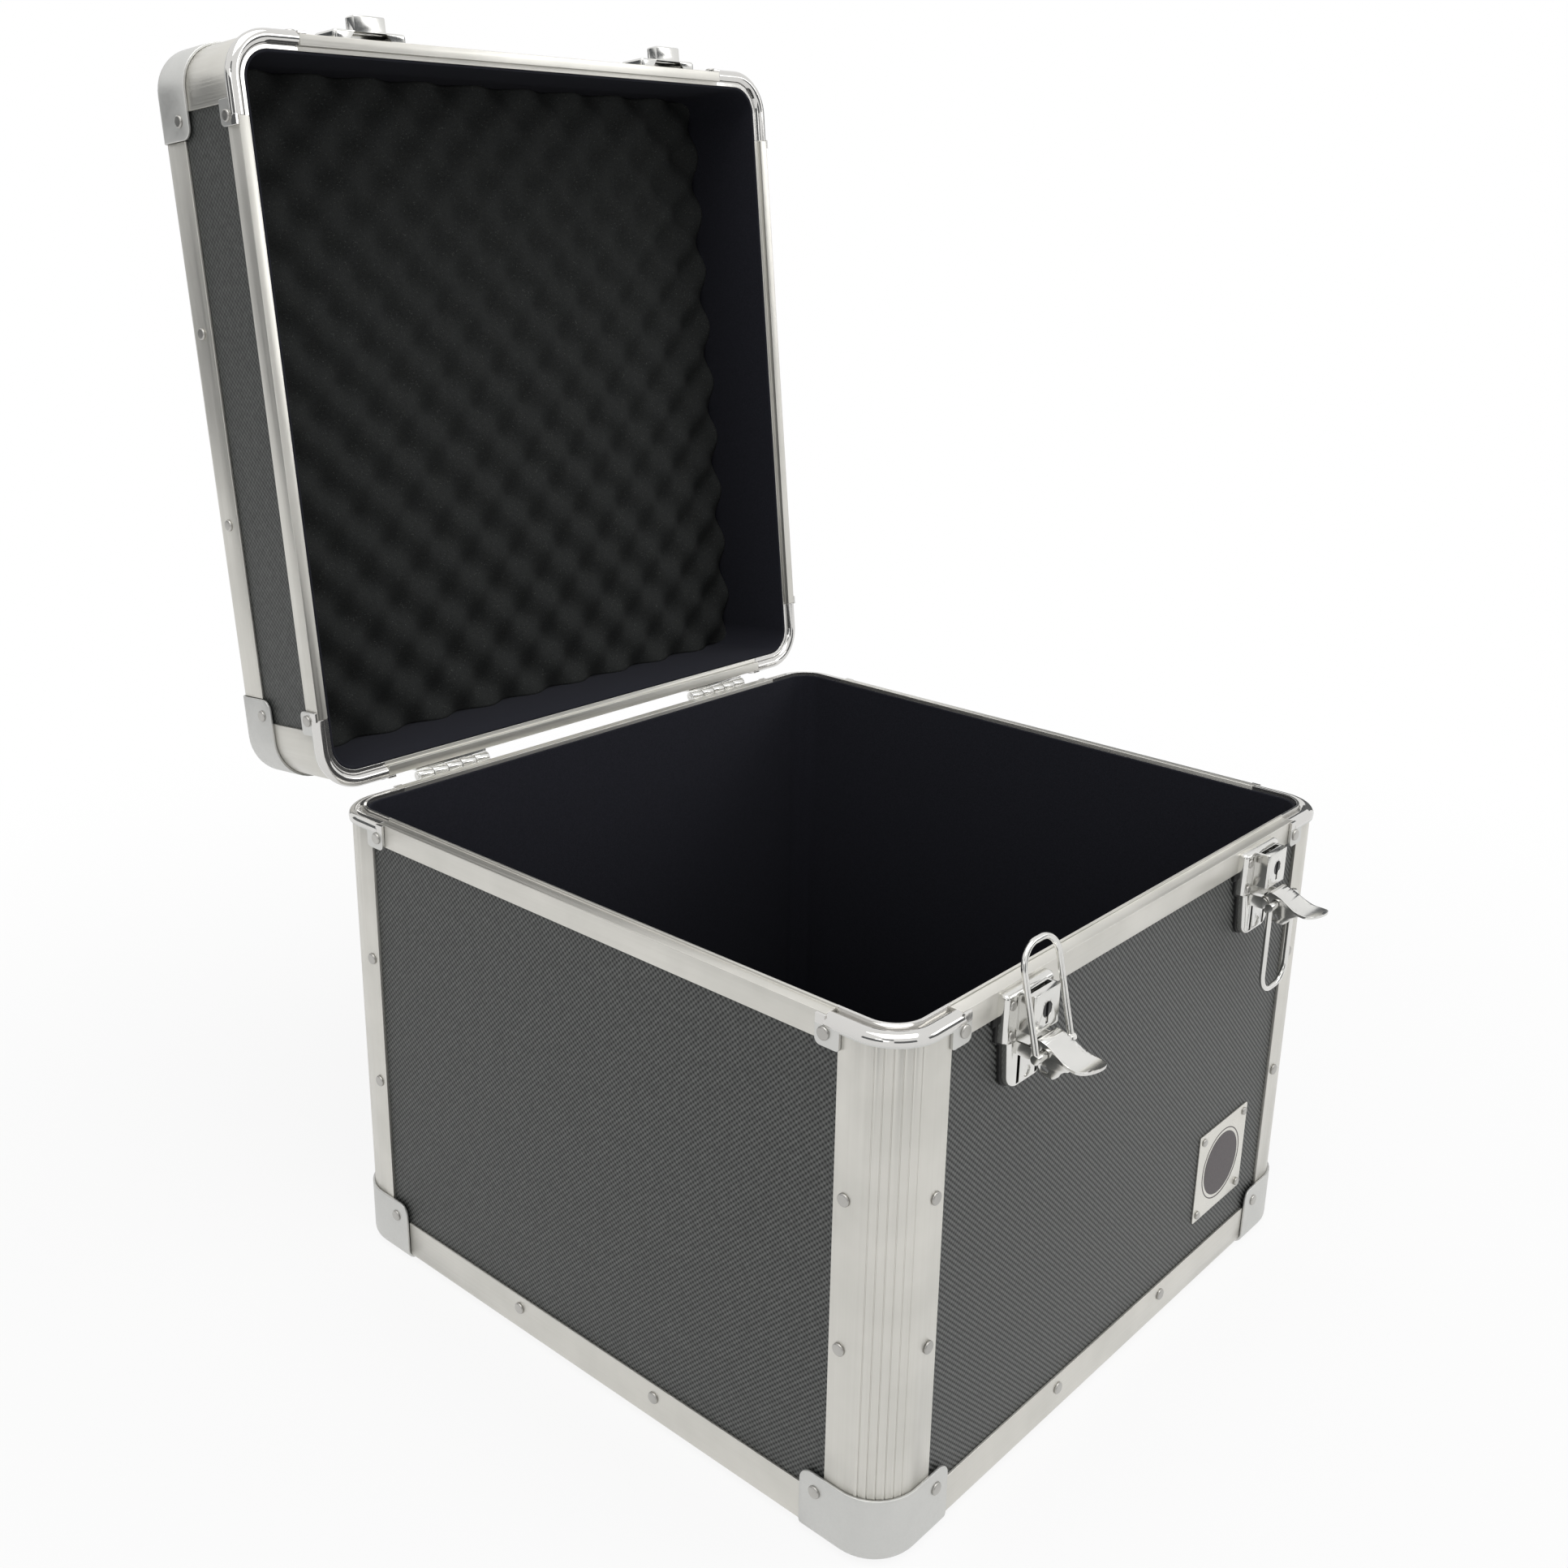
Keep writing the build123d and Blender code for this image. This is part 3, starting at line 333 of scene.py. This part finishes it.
def shades(material, factor, *stops):
    """Colour ramp with (position, grey or colour) stops."""
    ramp = put(material, "ShaderNodeValToRGB")
    wire(material, factor, ramp.inputs["Fac"])
    points = ramp.color_ramp.elements
    while len(points) < len(stops):
        points.new(0.5)
    for point, (position, colour) in zip(points, stops):
        point.position = position
        point.color = (*colour, 1) if isinstance(colour, tuple) else (colour, colour, colour, 1)
    return ramp.outputs["Color"]


def between(material, factor, low, high):
    """Colour ramp over the range of a noise."""
    return shades(material, factor, (LOW_END, low), (HIGH_END, high))


def relief(material, shader, height, depth, strength=1.0):
    """Bump from a height, with its depth in metres."""
    bump = put(material, "ShaderNodeBump", Strength=strength, Distance=depth)
    wire(material, height, bump.inputs["Height"])
    wire(material, bump.outputs["Normal"], shader.inputs["Normal"])


print("lid patterns turn back by", round(math.degrees(OPEN_LID), 1), "degrees")

# %% [markdown]
# ## Laminate
# The boards are faced with a charcoal laminate that is embossed like a close twill. Its small
# pits lie on a staggered grid, and low ridges run between them on both diagonals. Two cosine
# waves that cross at right angles give that relief: where both are low there is a pit. The colour
# follows the same relief as painted shade, nearly black in the pits and lighter on the ridges. One
# diagonal is the stronger one, a little on the side boards and clearly on the front and back.

# %% Laminate for each facing
TWILL = 0.00301             # from a pit to the next one along the board
TWILL_DEPTH = 0.00028
EVEN, SIDE_LEAN, FRONT_LEAN = 0.5, 0.56, 0.76       # share of the falling diagonal
LID_DEEP = 0.5              # the lid's relief is softer
# colours by relief height, from the pits to the ridges: painted shade makes the pits nearly black
LAMINATE_PIT_SHADE_TONES = (
    (0.16, (0.004, 0.004, 0.004)),
    (0.36, (0.052, 0.055, 0.053)),
    (0.6, (0.08, 0.083, 0.08)),
    (1.0, (0.13, 0.135, 0.128)),
)


def diagonal_wave(material, place, across, up, sign):
    """Cosine wave across one diagonal of a board."""
    heading = [0.0, 0.0, 0.0]
    heading["XYZ".index(across)] = 2 * math.pi / TWILL
    heading["XYZ".index(up)] = sign * 2 * math.pi / TWILL
    along = put(material, "ShaderNodeVectorMath", "DOT_PRODUCT")
    wire(material, place, along.inputs[0])
    along.inputs[1].default_value = heading
    wave = put(material, "ShaderNodeMath", "COSINE")
    wire(material, along.outputs["Value"], wave.inputs[0])
    return wave.outputs[0]


def laminate(name, across, up, turn=0.0, lean=EVEN, deep=1.0):
    """Pitted charcoal laminate, with painted shade darkening its pits. across and up name the axes
    that lie in the board.
    """
    material, shader = start_finish(name, (0.1, 0.1, 0.1), 0.45)
    shader.inputs["Specular IOR Level"].default_value = 0.35
    place = turned_place(material, turn)
    height = put(material, "ShaderNodeMath", "MULTIPLY_ADD")
    height.inputs[1].default_value = 0.5 * lean * deep
    wire(material, diagonal_wave(material, place, across, up, 1), height.inputs[0])
    rising = put(material, "ShaderNodeMath", "MULTIPLY_ADD")
    rising.inputs[1].default_value = 0.5 * (1 - lean) * deep
    rising.inputs[2].default_value = 0.5
    wire(material, diagonal_wave(material, place, across, up, -1), rising.inputs[0])
    wire(material, rising.outputs[0], height.inputs[2])
    weave = height.outputs[0]
    blotch = noise(material, place, Scale=420.0, Detail=3.0, Roughness=0.6)
    colour = put(material, "ShaderNodeMix", Factor=1.0)
    colour.data_type = "RGBA"
    colour.blend_type = "MULTIPLY"
    # the colour ramp on the relief paints shade into the pits
    wire(material, shades(material, weave, *LAMINATE_PIT_SHADE_TONES), colour.inputs["A"])
    wire(material, between(material, blotch, 0.7, 1.2), colour.inputs["B"])
    wire(material, colour.outputs["Result"], shader.inputs["Base Color"])
    relief(material, shader, weave, TWILL_DEPTH)
    return material


laminates = {
    "base_left": laminate("laminate_side", "Y", "Z", lean=SIDE_LEAN),
    "base_front": laminate("laminate_front", "X", "Z", lean=FRONT_LEAN),
    "base_floor": laminate("laminate_floor", "X", "Y"),
    "lid_left": laminate("laminate_lid_side", "Y", "Z", OPEN_LID, SIDE_LEAN, LID_DEEP),
    "lid_front": laminate("laminate_lid_front", "X", "Z", OPEN_LID, FRONT_LEAN, LID_DEEP),
    "lid_top": laminate("laminate_lid_top", "X", "Y", OPEN_LID, deep=LID_DEEP),
}
print(len(laminates), "laminates")

# %% [markdown]
# ## Satin metal
# The rails and posts are rolled from sheet aluminium, which leaves fine lines along their length.
# Noise that is squeezed across the length and stretched along it gives those lines. The same
# noise moves the roughness a little, so that the sheen breaks into soft streaks.

# %% Rolled aluminium along each axis
ACROSS_LINES, ALONG_LINES = 900.0, 6.0      # noise scales
FINE_WOBBLE = 0.00004                       # depth of the faint waves in rolled or pressed sheet


def rolled(name, along, turn=0.0):
    """Satin aluminium with fine lines along one axis."""
    material, shader = start_finish(name, (0.615, 0.602, 0.565), 0.38, 0.85)
    scale = [ACROSS_LINES] * 3
    scale["XYZ".index(along)] = ALONG_LINES
    lines = noise(material, turned_place(material, turn, scale),
                  Scale=1.0, Detail=3.0, Roughness=0.6)
    cloud = noise(material, turned_place(material, turn), Scale=28.0, Detail=3.0)
    tone = between(material, cloud, (0.603, 0.592, 0.55), (0.68, 0.665, 0.62))
    wire(material, tone, shader.inputs["Base Color"])
    wire(material, between(material, lines, 0.3, 0.46), shader.inputs["Roughness"])
    relief(material, shader, lines, FINE_WOBBLE, 0.6)
    return material


rolled_x = rolled("rolled_x", "X")
rolled_y = rolled("rolled_y", "Y")
rolled_z = rolled("rolled_z", "Z")
rolled_lid_x = rolled("rolled_lid_x", "X", OPEN_LID)
rolled_lid_y = rolled("rolled_lid_y", "Y", OPEN_LID)
rolled_lid_z = rolled("rolled_lid_z", "Z", OPEN_LID)
print("rolled finishes:", len([m for m in bpy.data.materials if m.name.startswith("rolled")]))

# %% [markdown]
# ## Pressed metal
# Corners, latches, rivets and the badge plate are pressed or plated. Their colour is a little
# cloudy and their surface wobbles slowly. The rim corners are satin too, but wear has polished
# the bead that runs along the rim, so their roughness changes with the height.

# %% Pressed and plated metals
BEAD_FROM, BEAD_FULL = 0.0050, 0.0044       # distances from the rim where the polish sets in


def clouds(material, place):
    """Slow, soft noise."""
    return noise(material, place, Scale=45.0, Detail=2.0, Roughness=0.5)


def pressed(name, colour, roughness, metallic, mottle, wobble):
    """Pressed or plated metal with faint cloudy mottling and a slow wobble."""
    material, shader = start_finish(name, colour, roughness, metallic)
    place = turned_place(material)
    cloud = clouds(material, place)
    darker = tuple(c * (1 - mottle) for c in colour)
    wire(material, between(material, cloud, darker, colour), shader.inputs["Base Color"])
    fine = noise(material, place, Scale=900.0, Detail=2.0)
    rough = between(material, fine, roughness * 0.85, roughness * 1.15)
    wire(material, rough, shader.inputs["Roughness"])
    relief(material, shader, cloud, wobble)
    return material


def beaded(name, turn, low, high):
    """Pressed corner: satin plate, and a bead that is polished beyond a height."""
    material, shader = start_finish(name, (0.64, 0.64, 0.62), 0.4, 0.88)
    place = turned_place(material, turn)
    parts = put(material, "ShaderNodeSeparateXYZ")
    wire(material, place, parts.inputs[0])
    bead = put(material, "ShaderNodeMapRange", From_Min=low, From_Max=high)
    wire(material, parts.outputs["Z"], bead.inputs["Value"])
    polish = bead.outputs["Result"]
    tone = shades(material, polish, (0.0, (0.63, 0.63, 0.61)), (1.0, (0.66, 0.65, 0.63)))
    wire(material, tone, shader.inputs["Base Color"])
    rough = shades(material, polish, (0.0, 0.42), (1.0, 0.07))
    wire(material, rough, shader.inputs["Roughness"])
    relief(material, shader, clouds(material, place), FINE_WOBBLE)
    return material


# name, colour, roughness, metallic, mottle, wobble
corner_steel = pressed("corner_steel", (0.63, 0.63, 0.61), 0.44, 0.75, 0.05, FINE_WOBBLE)
# name, turn, height where the polish starts and where it is full
base_bead = beaded("base_bead", 0.0, RIM - BEAD_FROM, RIM - BEAD_FULL)
lid_bead = beaded("lid_bead", OPEN_LID, RIM + BEAD_FROM, RIM + BEAD_FULL)
# name, colour, roughness, metallic, mottle, wobble
bright_nickel = pressed("bright_nickel", (0.74, 0.735, 0.71), 0.19, 1.0, 0.1, 0.00005)
rivet_steel = pressed("rivet_steel", (0.5, 0.49, 0.465), 0.34, 0.95, 0.2, 0.0001)
badge_steel = pressed("badge_steel", (0.73, 0.715, 0.665), 0.32, 0.85, 0.06, 0.00003)
print("the base's bead is polished above", round(RIM - BEAD_FULL, 4), "m")

# %% [markdown]
# ## Soft and dark finishes
# The lid's foam is open-celled, so it drinks light: almost black, very rough, with cells about
# half a millimetre wide. The linings are smooth closed foam in a blue-black.

# %% Foam, lining, rubber and plastic
def matt(name, low, high, roughness, grain, depth):
    """Matt finish with a grain of a given size in metres, in two near colours."""
    material, shader = start_finish(name, high, roughness)
    shader.inputs["Specular IOR Level"].default_value = 0.25
    pores = noise(material, turned_place(material), Scale=1 / grain, Detail=3.0, Roughness=0.7)
    wire(material, between(material, pores, low, high), shader.inputs["Base Color"])
    relief(material, shader, pores, depth)
    return material


def open_cells(name, low, high, fleck, cell):
    """Open-celled foam: small cells, each a little lighter or darker, and some pale flecks."""
    material, shader = start_finish(name, high, 1.0)
    shader.inputs["Specular IOR Level"].default_value = 0.2
    cells = put(material, "ShaderNodeTexVoronoi", Scale=1 / cell)
    wire(material, turned_place(material), cells.inputs["Vector"])
    chance = put(material, "ShaderNodeSeparateColor")
    wire(material, cells.outputs["Color"], chance.inputs[0])
    tone = shades(material, chance.outputs[0], (0.0, low), (0.6, high), (0.96, high), (1.0, fleck))
    wire(material, tone, shader.inputs["Base Color"])
    relief(material, shader, cells.outputs["Distance"], 0.0001)
    return material


# name, darker and lighter colour, fleck, size of a cell
egg_foam = open_cells("egg_foam", (0.0155, 0.0165, 0.0163), (0.0225, 0.024, 0.0235),
                      (0.052, 0.055, 0.052), 0.00055)
# name, darker and lighter colour, roughness, size and depth of the grain
lining_foam = matt("lining_foam", (0.0112, 0.0118, 0.0168), (0.0172, 0.0178, 0.0252),
                   1.0, 0.0009, 0.0001)
grip_rubber = matt("grip_rubber", (0.012, 0.012, 0.012), (0.022, 0.022, 0.022),
                   0.55, 0.0006, 0.00006)
packer_black = matt("packer_black", (0.01, 0.01, 0.01), (0.016, 0.016, 0.016),
                    0.6, 0.001, 0.00005)
badge_print = matt("badge_print", (0.058, 0.047, 0.05), (0.082, 0.068, 0.072),
                   0.35, 0.0012, 0.00002)
lock_black = matt("lock_black", (0.015, 0.015, 0.016), (0.03, 0.03, 0.032),
                  0.35, 0.0008, 0.00004)
print(len(bpy.data.materials), "finishes")

# %% [markdown]
# ## Boards keep their solids
# The laminated boards are flat, and metal covers their edges. Their solids are right as they are,
# so they only need the laminate that faces their way. Opposite boards share one.

# %% Boards
SAME_LAMINATE = {"right": "left", "back": "front"}

boards = sorted(name for name in nodes if name.endswith("_panel"))
for name in boards:
    part, side, _ = name.split("_")
    nodes[name].data.materials.clear()
    nodes[name].data.materials.append(laminates[f"{part}_{SAME_LAMINATE.get(side, side)}"])
print(len(boards), "boards, such as", boards[0])

# %% [markdown]
# ## Metal gets worn edges
# Real sheet metal never has a perfectly sharp edge, and the thin bright line along a softened
# edge is what makes a render look solid. A solid's mesh is loose triangles, so a copy is welded
# and its flat areas are made whole again. Then a Bevel modifier rounds only the sharp edges.

# %% Copy, weld and soften
WELD = 1e-6
FLAT_ANGLE, SHARP_ANGLE = math.radians(0.6), math.radians(40)


def soften(made, edge, segments=2):
    """Round an object's sharp edges."""
    rounding = made.modifiers.new("soft_edges", "BEVEL")
    rounding.width = edge
    rounding.segments = segments
    rounding.limit_method = "ANGLE"
    rounding.angle_limit = SHARP_ANGLE
    rounding.harden_normals = True


def dressed(name, finish, slot, edge, segments=2):
    """Welded copy of one solid with softened edges, standing for it."""
    mesh = bmesh.new()
    mesh.from_mesh(nodes[name].data)
    bmesh.ops.remove_doubles(mesh, verts=mesh.verts, dist=WELD)
    bmesh.ops.dissolve_limit(mesh, angle_limit=FLAT_ANGLE, verts=mesh.verts, edges=mesh.edges)
    for face in mesh.faces:
        face.smooth = True
    made = new_piece("dressed_" + name, mesh, finish)
    soften(made, edge, segments)
    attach(made, nodes[name]["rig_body"])
    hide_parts(name)
    return made


print("edges sharper than", round(math.degrees(SHARP_ANGLE)), "degrees are rounded")

# %% [markdown]
# ## The finish of each metal piece
# A table gives each solid its finish, the slot where another material can be chosen, and the
# width of its rounded edges. The rails of the lid are one piece that runs both ways, so those on
# its two sides get the finish with lines along Y.

# %% Dress the metal
THIN, FINE, BROAD, THICK = 0.0002, 0.0003, 0.0004, 0.0006      # widths of rounded edges
SIDE_RAIL_FROM = 0.16           # rails further than this from the middle run along Y

dressing = {}
for side, finish in (("front", rolled_x), ("back", rolled_x),
                     ("left", rolled_y), ("right", rolled_y)):
    dressing[f"base_{side}_bottom_rail"] = (finish, "frame_aluminium", BROAD)
    dressing[f"base_{side}_rim_rail"] = (finish, "frame_aluminium", FINE)
for corner in ("front_left", "front_right", "back_right", "back_left"):
    dressing[f"base_{corner}_post"] = (rolled_z, "frame_aluminium", THIN)
dressing["lid_corner_posts"] = (rolled_lid_z, "frame_aluminium", THIN)
dressing["lid_rim_rails"] = (rolled_lid_x, "frame_aluminium", FINE)
dressing["lid_top_rails"] = (rolled_lid_x, "frame_aluminium", BROAD)
for part in ("base", "lid"):
    dressing[part + "_ball_corners"] = (corner_steel, "corner_steel", BROAD)
    dressing[part + "_rivets"] = (rivet_steel, "rivet_steel", THIN)
dressing["badge_plate"] = (badge_steel, "badge_plate", THIN)
dressing["latch_packers"] = (packer_black, "packer", THIN)
dressing["hinge_pins"] = (bright_nickel, "latch_nickel", THIN)
dressing["handle_brackets"] = (bright_nickel, "latch_nickel", FINE)
dressing["handle_bow"] = (bright_nickel, "latch_nickel", THIN)
dressing["handle_sleeve"] = (grip_rubber, "grip_rubber", THICK)
for hand in ("left", "right"):
    for piece, edge in (("latch_plate", BROAD), ("lock_case", FINE), ("lever", FINE),
                        ("bail_pin", THIN), ("bail", THIN), ("strike", BROAD),
                        ("hinge_base_leaf", FINE), ("hinge_lid_leaf", FINE)):
        dressing[f"{hand}_{piece}"] = (bright_nickel, "latch_nickel", edge)
    dressing[f"{hand}_lock_barrel"] = (lock_black, "lock_black", THIN)

pieces = {name: dressed(name, *choice) for name, choice in dressing.items()}
for name in ("lid_rim_rails", "lid_top_rails"):
    rails = pieces[name].data
    rails.materials.append(rolled_lid_y)
    for face in rails.polygons:
        face.material_index = int(abs(face.center.x) > SIDE_RAIL_FROM)
print(len(pieces), "metal pieces dressed")

# %% [markdown]
# ## Badge
# The plate on the front carries a round printed field in a thin printed ring, with nothing
# written in it. Print has almost no thickness, but a tenth of a millimetre of it catches the
# light along its edge. The ring is a small square section, spun once round.

# %% Printed disc and ring
PRINT_DEEP = 0.00012
PRINT_SIDES = 96
DISC_RADIUS, RING_RADIUS, RING_WIDE = 0.0188, 0.0206, 0.0006

plate_low, plate_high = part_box("badge_plate")
badge_middle = Vector(((plate_low.x + plate_high.x) / 2, plate_low.y,
                       (plate_low.z + plate_high.z) / 2))
to_badge = Matrix.Translation(badge_middle) @ Matrix.Rotation(math.pi / 2, 4, "X")


def printed(name, shape):
    """Finish a printed shape that was drawn flat, and set it on the badge plate."""
    bmesh.ops.transform(shape, matrix=to_badge, verts=shape.verts)
    bmesh.ops.recalc_face_normals(shape, faces=shape.faces)
    made = new_piece(name, shape, badge_print)
    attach(made, "base")


disc = bmesh.new()
bmesh.ops.create_circle(disc, cap_ends=True, segments=PRINT_SIDES, radius=DISC_RADIUS)
raised = bmesh.ops.extrude_face_region(disc, geom=disc.faces[:])["geom"]
bmesh.ops.translate(disc, vec=(0, 0, PRINT_DEEP),
                    verts=[part for part in raised if isinstance(part, bmesh.types.BMVert)])
printed("badge_disc", disc)

ring = bmesh.new()
square = [ring.verts.new((RING_RADIUS + across, 0, high)) for across, high in
          ((0, 0), (RING_WIDE, 0), (RING_WIDE, PRINT_DEEP), (0, PRINT_DEEP))]
for number in range(len(square)):
    ring.edges.new((square[number - 1], square[number]))
bmesh.ops.spin(ring, geom=ring.verts[:] + ring.edges[:], cent=(0, 0, 0), axis=(0, 0, 1),
               angle=2 * math.pi, steps=PRINT_SIDES, use_merge=True)
printed("badge_ring", ring)
print("badge middle", [round(v, 4) for v in badge_middle])

# %% [markdown]
# ## Rim corners
# The corner of the rim is one pressing: a round bead on top, a skirt that hangs under it, and a
# riveted tab on each wall. On the inside it carries the tongue of the base, or the groove of the
# lid. Its section is drawn once as insets and heights, then swept along a wall, round the corner
# and along the next wall. Heights are measured from the rim, upwards in the lid and downwards in
# the base.

# %% Sections of both rims
MM = 0.001
HALF_WIDTH, HALF_DEPTH = 195.0, 196.0       # of the case
PLAN_RADIUS, BEAD_REACH, ARC_STEPS = 25.0, 42.0, 28
BEAD_HIGH, BEAD_PROUD = 3.6, 0.3            # half height, and how far it stands out of the wall
BEAD_STEPS, BEAD_FIRST = 18, 160            # the arc starts at this angle, on the skirt


def bead_arc(wide, last_angle):
    """Half-round bead, from the skirt's neck over the rim to the inside."""
    points = []
    for step in range(BEAD_STEPS + 1):
        angle = math.radians(BEAD_FIRST + (last_angle - BEAD_FIRST) * step / BEAD_STEPS)
        points.append((wide * (1 + math.cos(angle)) - BEAD_PROUD,
                       BEAD_HIGH * (1 + math.sin(angle))))
    return points


# each point is (inset from the wall, height from the rim)
skirt = [(1.5, 5.7), (0.0, 5.7), (0.0, 5.0)]
base_section = skirt + bead_arc(4.2, 335) + [
    (8.0, 2.1), (8.0, -1.2), (9.5, -1.2), (9.5, 12.0), (8.0, 12.0), (8.0, 5.0), (1.5, 5.0)]
lid_section = skirt + bead_arc(3.75, 345) + [
    (7.2, 3.0), (9.5, 3.0), (9.5, 12.0), (8.0, 12.0), (8.0, 4.5), (1.5, 4.5)]
print(len(base_section), "points in the base's section,", len(lid_section), "in the lid's")

# %% [markdown]
# A corner is drawn in millimetres from the case's outer corner inwards. The section becomes a
# face, an extrusion takes it along the wall, a spin of a quarter turn takes it round the corner,
# and a second extrusion takes it along the next wall. A tab is an outline with one corner rounded
# off, given its thickness. Rivets go through it, and the bead hides its notch.

# %% Draw one corner
TAB_OUTLINE = ((33.3, 4.6), (41.2, 4.6), (41.2, 0.2), (46.5, 0.2),
               (46.5, 14.3), (34.8, 14.3), (33.7, 13.9), (33.3, 12.8))
TAB_ROUND, TAB_ROUND_STEPS = 3.0, 6         # of its outer lower corner
TAB_OUT, TAB_THICK = -0.08, 1.48            # inset of its outer face, and its thickness


def extrude(mesh, geom, way):
    """Extrude by a vector and return the new end. A face given without its edges stays behind
    and closes the start; one given with them would end up inside the shape, and is removed."""
    end = bmesh.ops.extrude_face_region(mesh, geom=geom)["geom"]
    bmesh.ops.translate(mesh, vec=way,
                        verts=[part for part in end if isinstance(part, bmesh.types.BMVert)])
    return end


def add_bead(mesh, section):
    """Section swept along a wall, round the corner and along the next wall."""
    start = mesh.faces.new([mesh.verts.new((BEAD_REACH, *point)) for point in section])
    straight = BEAD_REACH - PLAN_RADIUS
    end = extrude(mesh, [start], (-straight, 0, 0))
    turned = bmesh.ops.spin(mesh, geom=end, cent=(PLAN_RADIUS, PLAN_RADIUS, 0),
                            axis=(0, 0, -1), angle=math.pi / 2, steps=ARC_STEPS)
    extrude(mesh, turned["geom_last"], (0, straight, 0))


def add_tab(mesh, swap):
    """Tab on the first wall, or with its axes swapped on the second."""
    tab = bmesh.new()
    outline = [tab.verts.new((along, TAB_OUT, height)) for along, height in TAB_OUTLINE]
    tab.faces.new(outline)
    bmesh.ops.bevel(tab, geom=[outline[4]], affect="VERTICES", offset=TAB_ROUND,
                    offset_type="OFFSET", segments=TAB_ROUND_STEPS, profile=0.5, material=-1)
    extrude(tab, tab.faces[:], (0, TAB_THICK, 0))
    if swap:
        swapped = Matrix(((0, 1, 0, 0), (1, 0, 0, 0), (0, 0, 1, 0), (0, 0, 0, 1)))
        bmesh.ops.transform(tab, matrix=swapped, verts=tab.verts)
    drawn = bpy.data.meshes.new("tab")
    tab.to_mesh(drawn)
    tab.free()
    mesh.from_mesh(drawn)
    bpy.data.meshes.remove(drawn)


print("a tab's outline has", len(TAB_OUTLINE), "points before its corner is rounded")

# %% [markdown]
# The drawn corner is brought to its place in metres, and mirrored twice it makes four. The lid's
# corners are drawn as in a closed case, and then the whole piece is turned open about the hinge
# line.

# %% Four corners for each part
open_turn = (Matrix.Translation(HINGE_LINE) @ Matrix.Rotation(-OPEN_LID, 4, "X")
             @ Matrix.Translation(-HINGE_LINE))


def rim_corners(part, section, up, finish):
    """Four rim corners of one part as one piece."""
    mesh = bmesh.new()
    add_bead(mesh, section)
    add_tab(mesh, swap=False)
    add_tab(mesh, swap=True)
    to_corner = Matrix.Translation((HALF_WIDTH * MM, HALF_DEPTH * MM, RIM))
    bmesh.ops.transform(mesh, matrix=to_corner @ Matrix.Diagonal((-MM, -MM, up * MM, 1)),
                        verts=mesh.verts)
    for axis in ("X", "Y"):
        bmesh.ops.mirror(mesh, geom=mesh.verts[:] + mesh.edges[:] + mesh.faces[:], axis=axis)
    bmesh.ops.recalc_face_normals(mesh, faces=mesh.faces)
    for face in mesh.faces:
        face.smooth = True
    if part == "lid":
        bmesh.ops.transform(mesh, matrix=open_turn, verts=mesh.verts)
    made = new_piece(part + "_beaded_corners", mesh, finish)
    soften(made, FINE)
    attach(made, part)
    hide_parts(part + "_rim_corners")
    print(made.name, len(made.data.polygons), "faces")


rim_corners("base", base_section, -1, base_bead)
rim_corners("lid", lid_section, 1, lid_bead)

# %% [markdown]
# ## The lid's foam
# Egg-crate foam presses on the records when the lid is shut. It is cut by two rollers, which
# leave rounded peaks and hollows in a chequered order. A fine grid, lifted by the product of two
# cosines, gives exactly that, and a power below one makes the peaks a little fuller. The grid is
# made as it lies in a closed lid and then turned open.

# %% Egg-crate block
PEAK_STEP = 0.0187          # from a peak to the hollow beside it
FOAM_REACH = (0.184, 0.185)
FOAM_PEAK, FOAM_HOLLOW, FOAM_BACK = RIM + 0.0535, RIM + 0.0630, RIM + 0.0675
PEAK_FULLNESS = 0.8
FOAM_GRID = 260

block = bmesh.new()
bmesh.ops.create_grid(block, x_segments=FOAM_GRID, y_segments=FOAM_GRID, size=1)
for point in block.verts:
    x, y = point.co.x * FOAM_REACH[0], point.co.y * FOAM_REACH[1]
    wave = math.cos(math.pi * x / PEAK_STEP) * math.cos(math.pi * y / PEAK_STEP)
    lift = (0.5 + 0.5 * wave) ** PEAK_FULLNESS
    point.co = (x, y, FOAM_HOLLOW + (FOAM_PEAK - FOAM_HOLLOW) * lift)
border = [edge for edge in block.edges if edge.is_boundary]
for part in bmesh.ops.extrude_edge_only(block, edges=border)["geom"]:
    if isinstance(part, bmesh.types.BMVert):
        part.co.z = FOAM_BACK
bmesh.ops.contextual_create(block, geom=[edge for edge in block.edges if edge.is_boundary])
bmesh.ops.recalc_face_normals(block, faces=block.faces)
for face in block.faces:
    face.smooth = len(face.verts) == 4
bmesh.ops.transform(block, matrix=open_turn, verts=block.verts)
lid_foam = new_piece("egg_crate_foam", block, egg_foam)
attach(lid_foam, "lid")
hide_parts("lid_foam")
print(len(lid_foam.data.polygons), "faces of foam")

# %% [markdown]
# ## The linings
# Thin closed foam is glued to the walls and the floor, so that sleeves slide in without a scuff.
# Its solids have the right shape, and only want a soft edge.

# %% Linings
SOFT_EDGE, SOFT_SEGMENTS = 0.0012, 3

linings = [dressed(name, lining_foam, "lining", SOFT_EDGE, SOFT_SEGMENTS)
           for name in ("base_wall_lining", "base_floor_lining", "lid_wall_lining")]
print(len(linings), "linings")
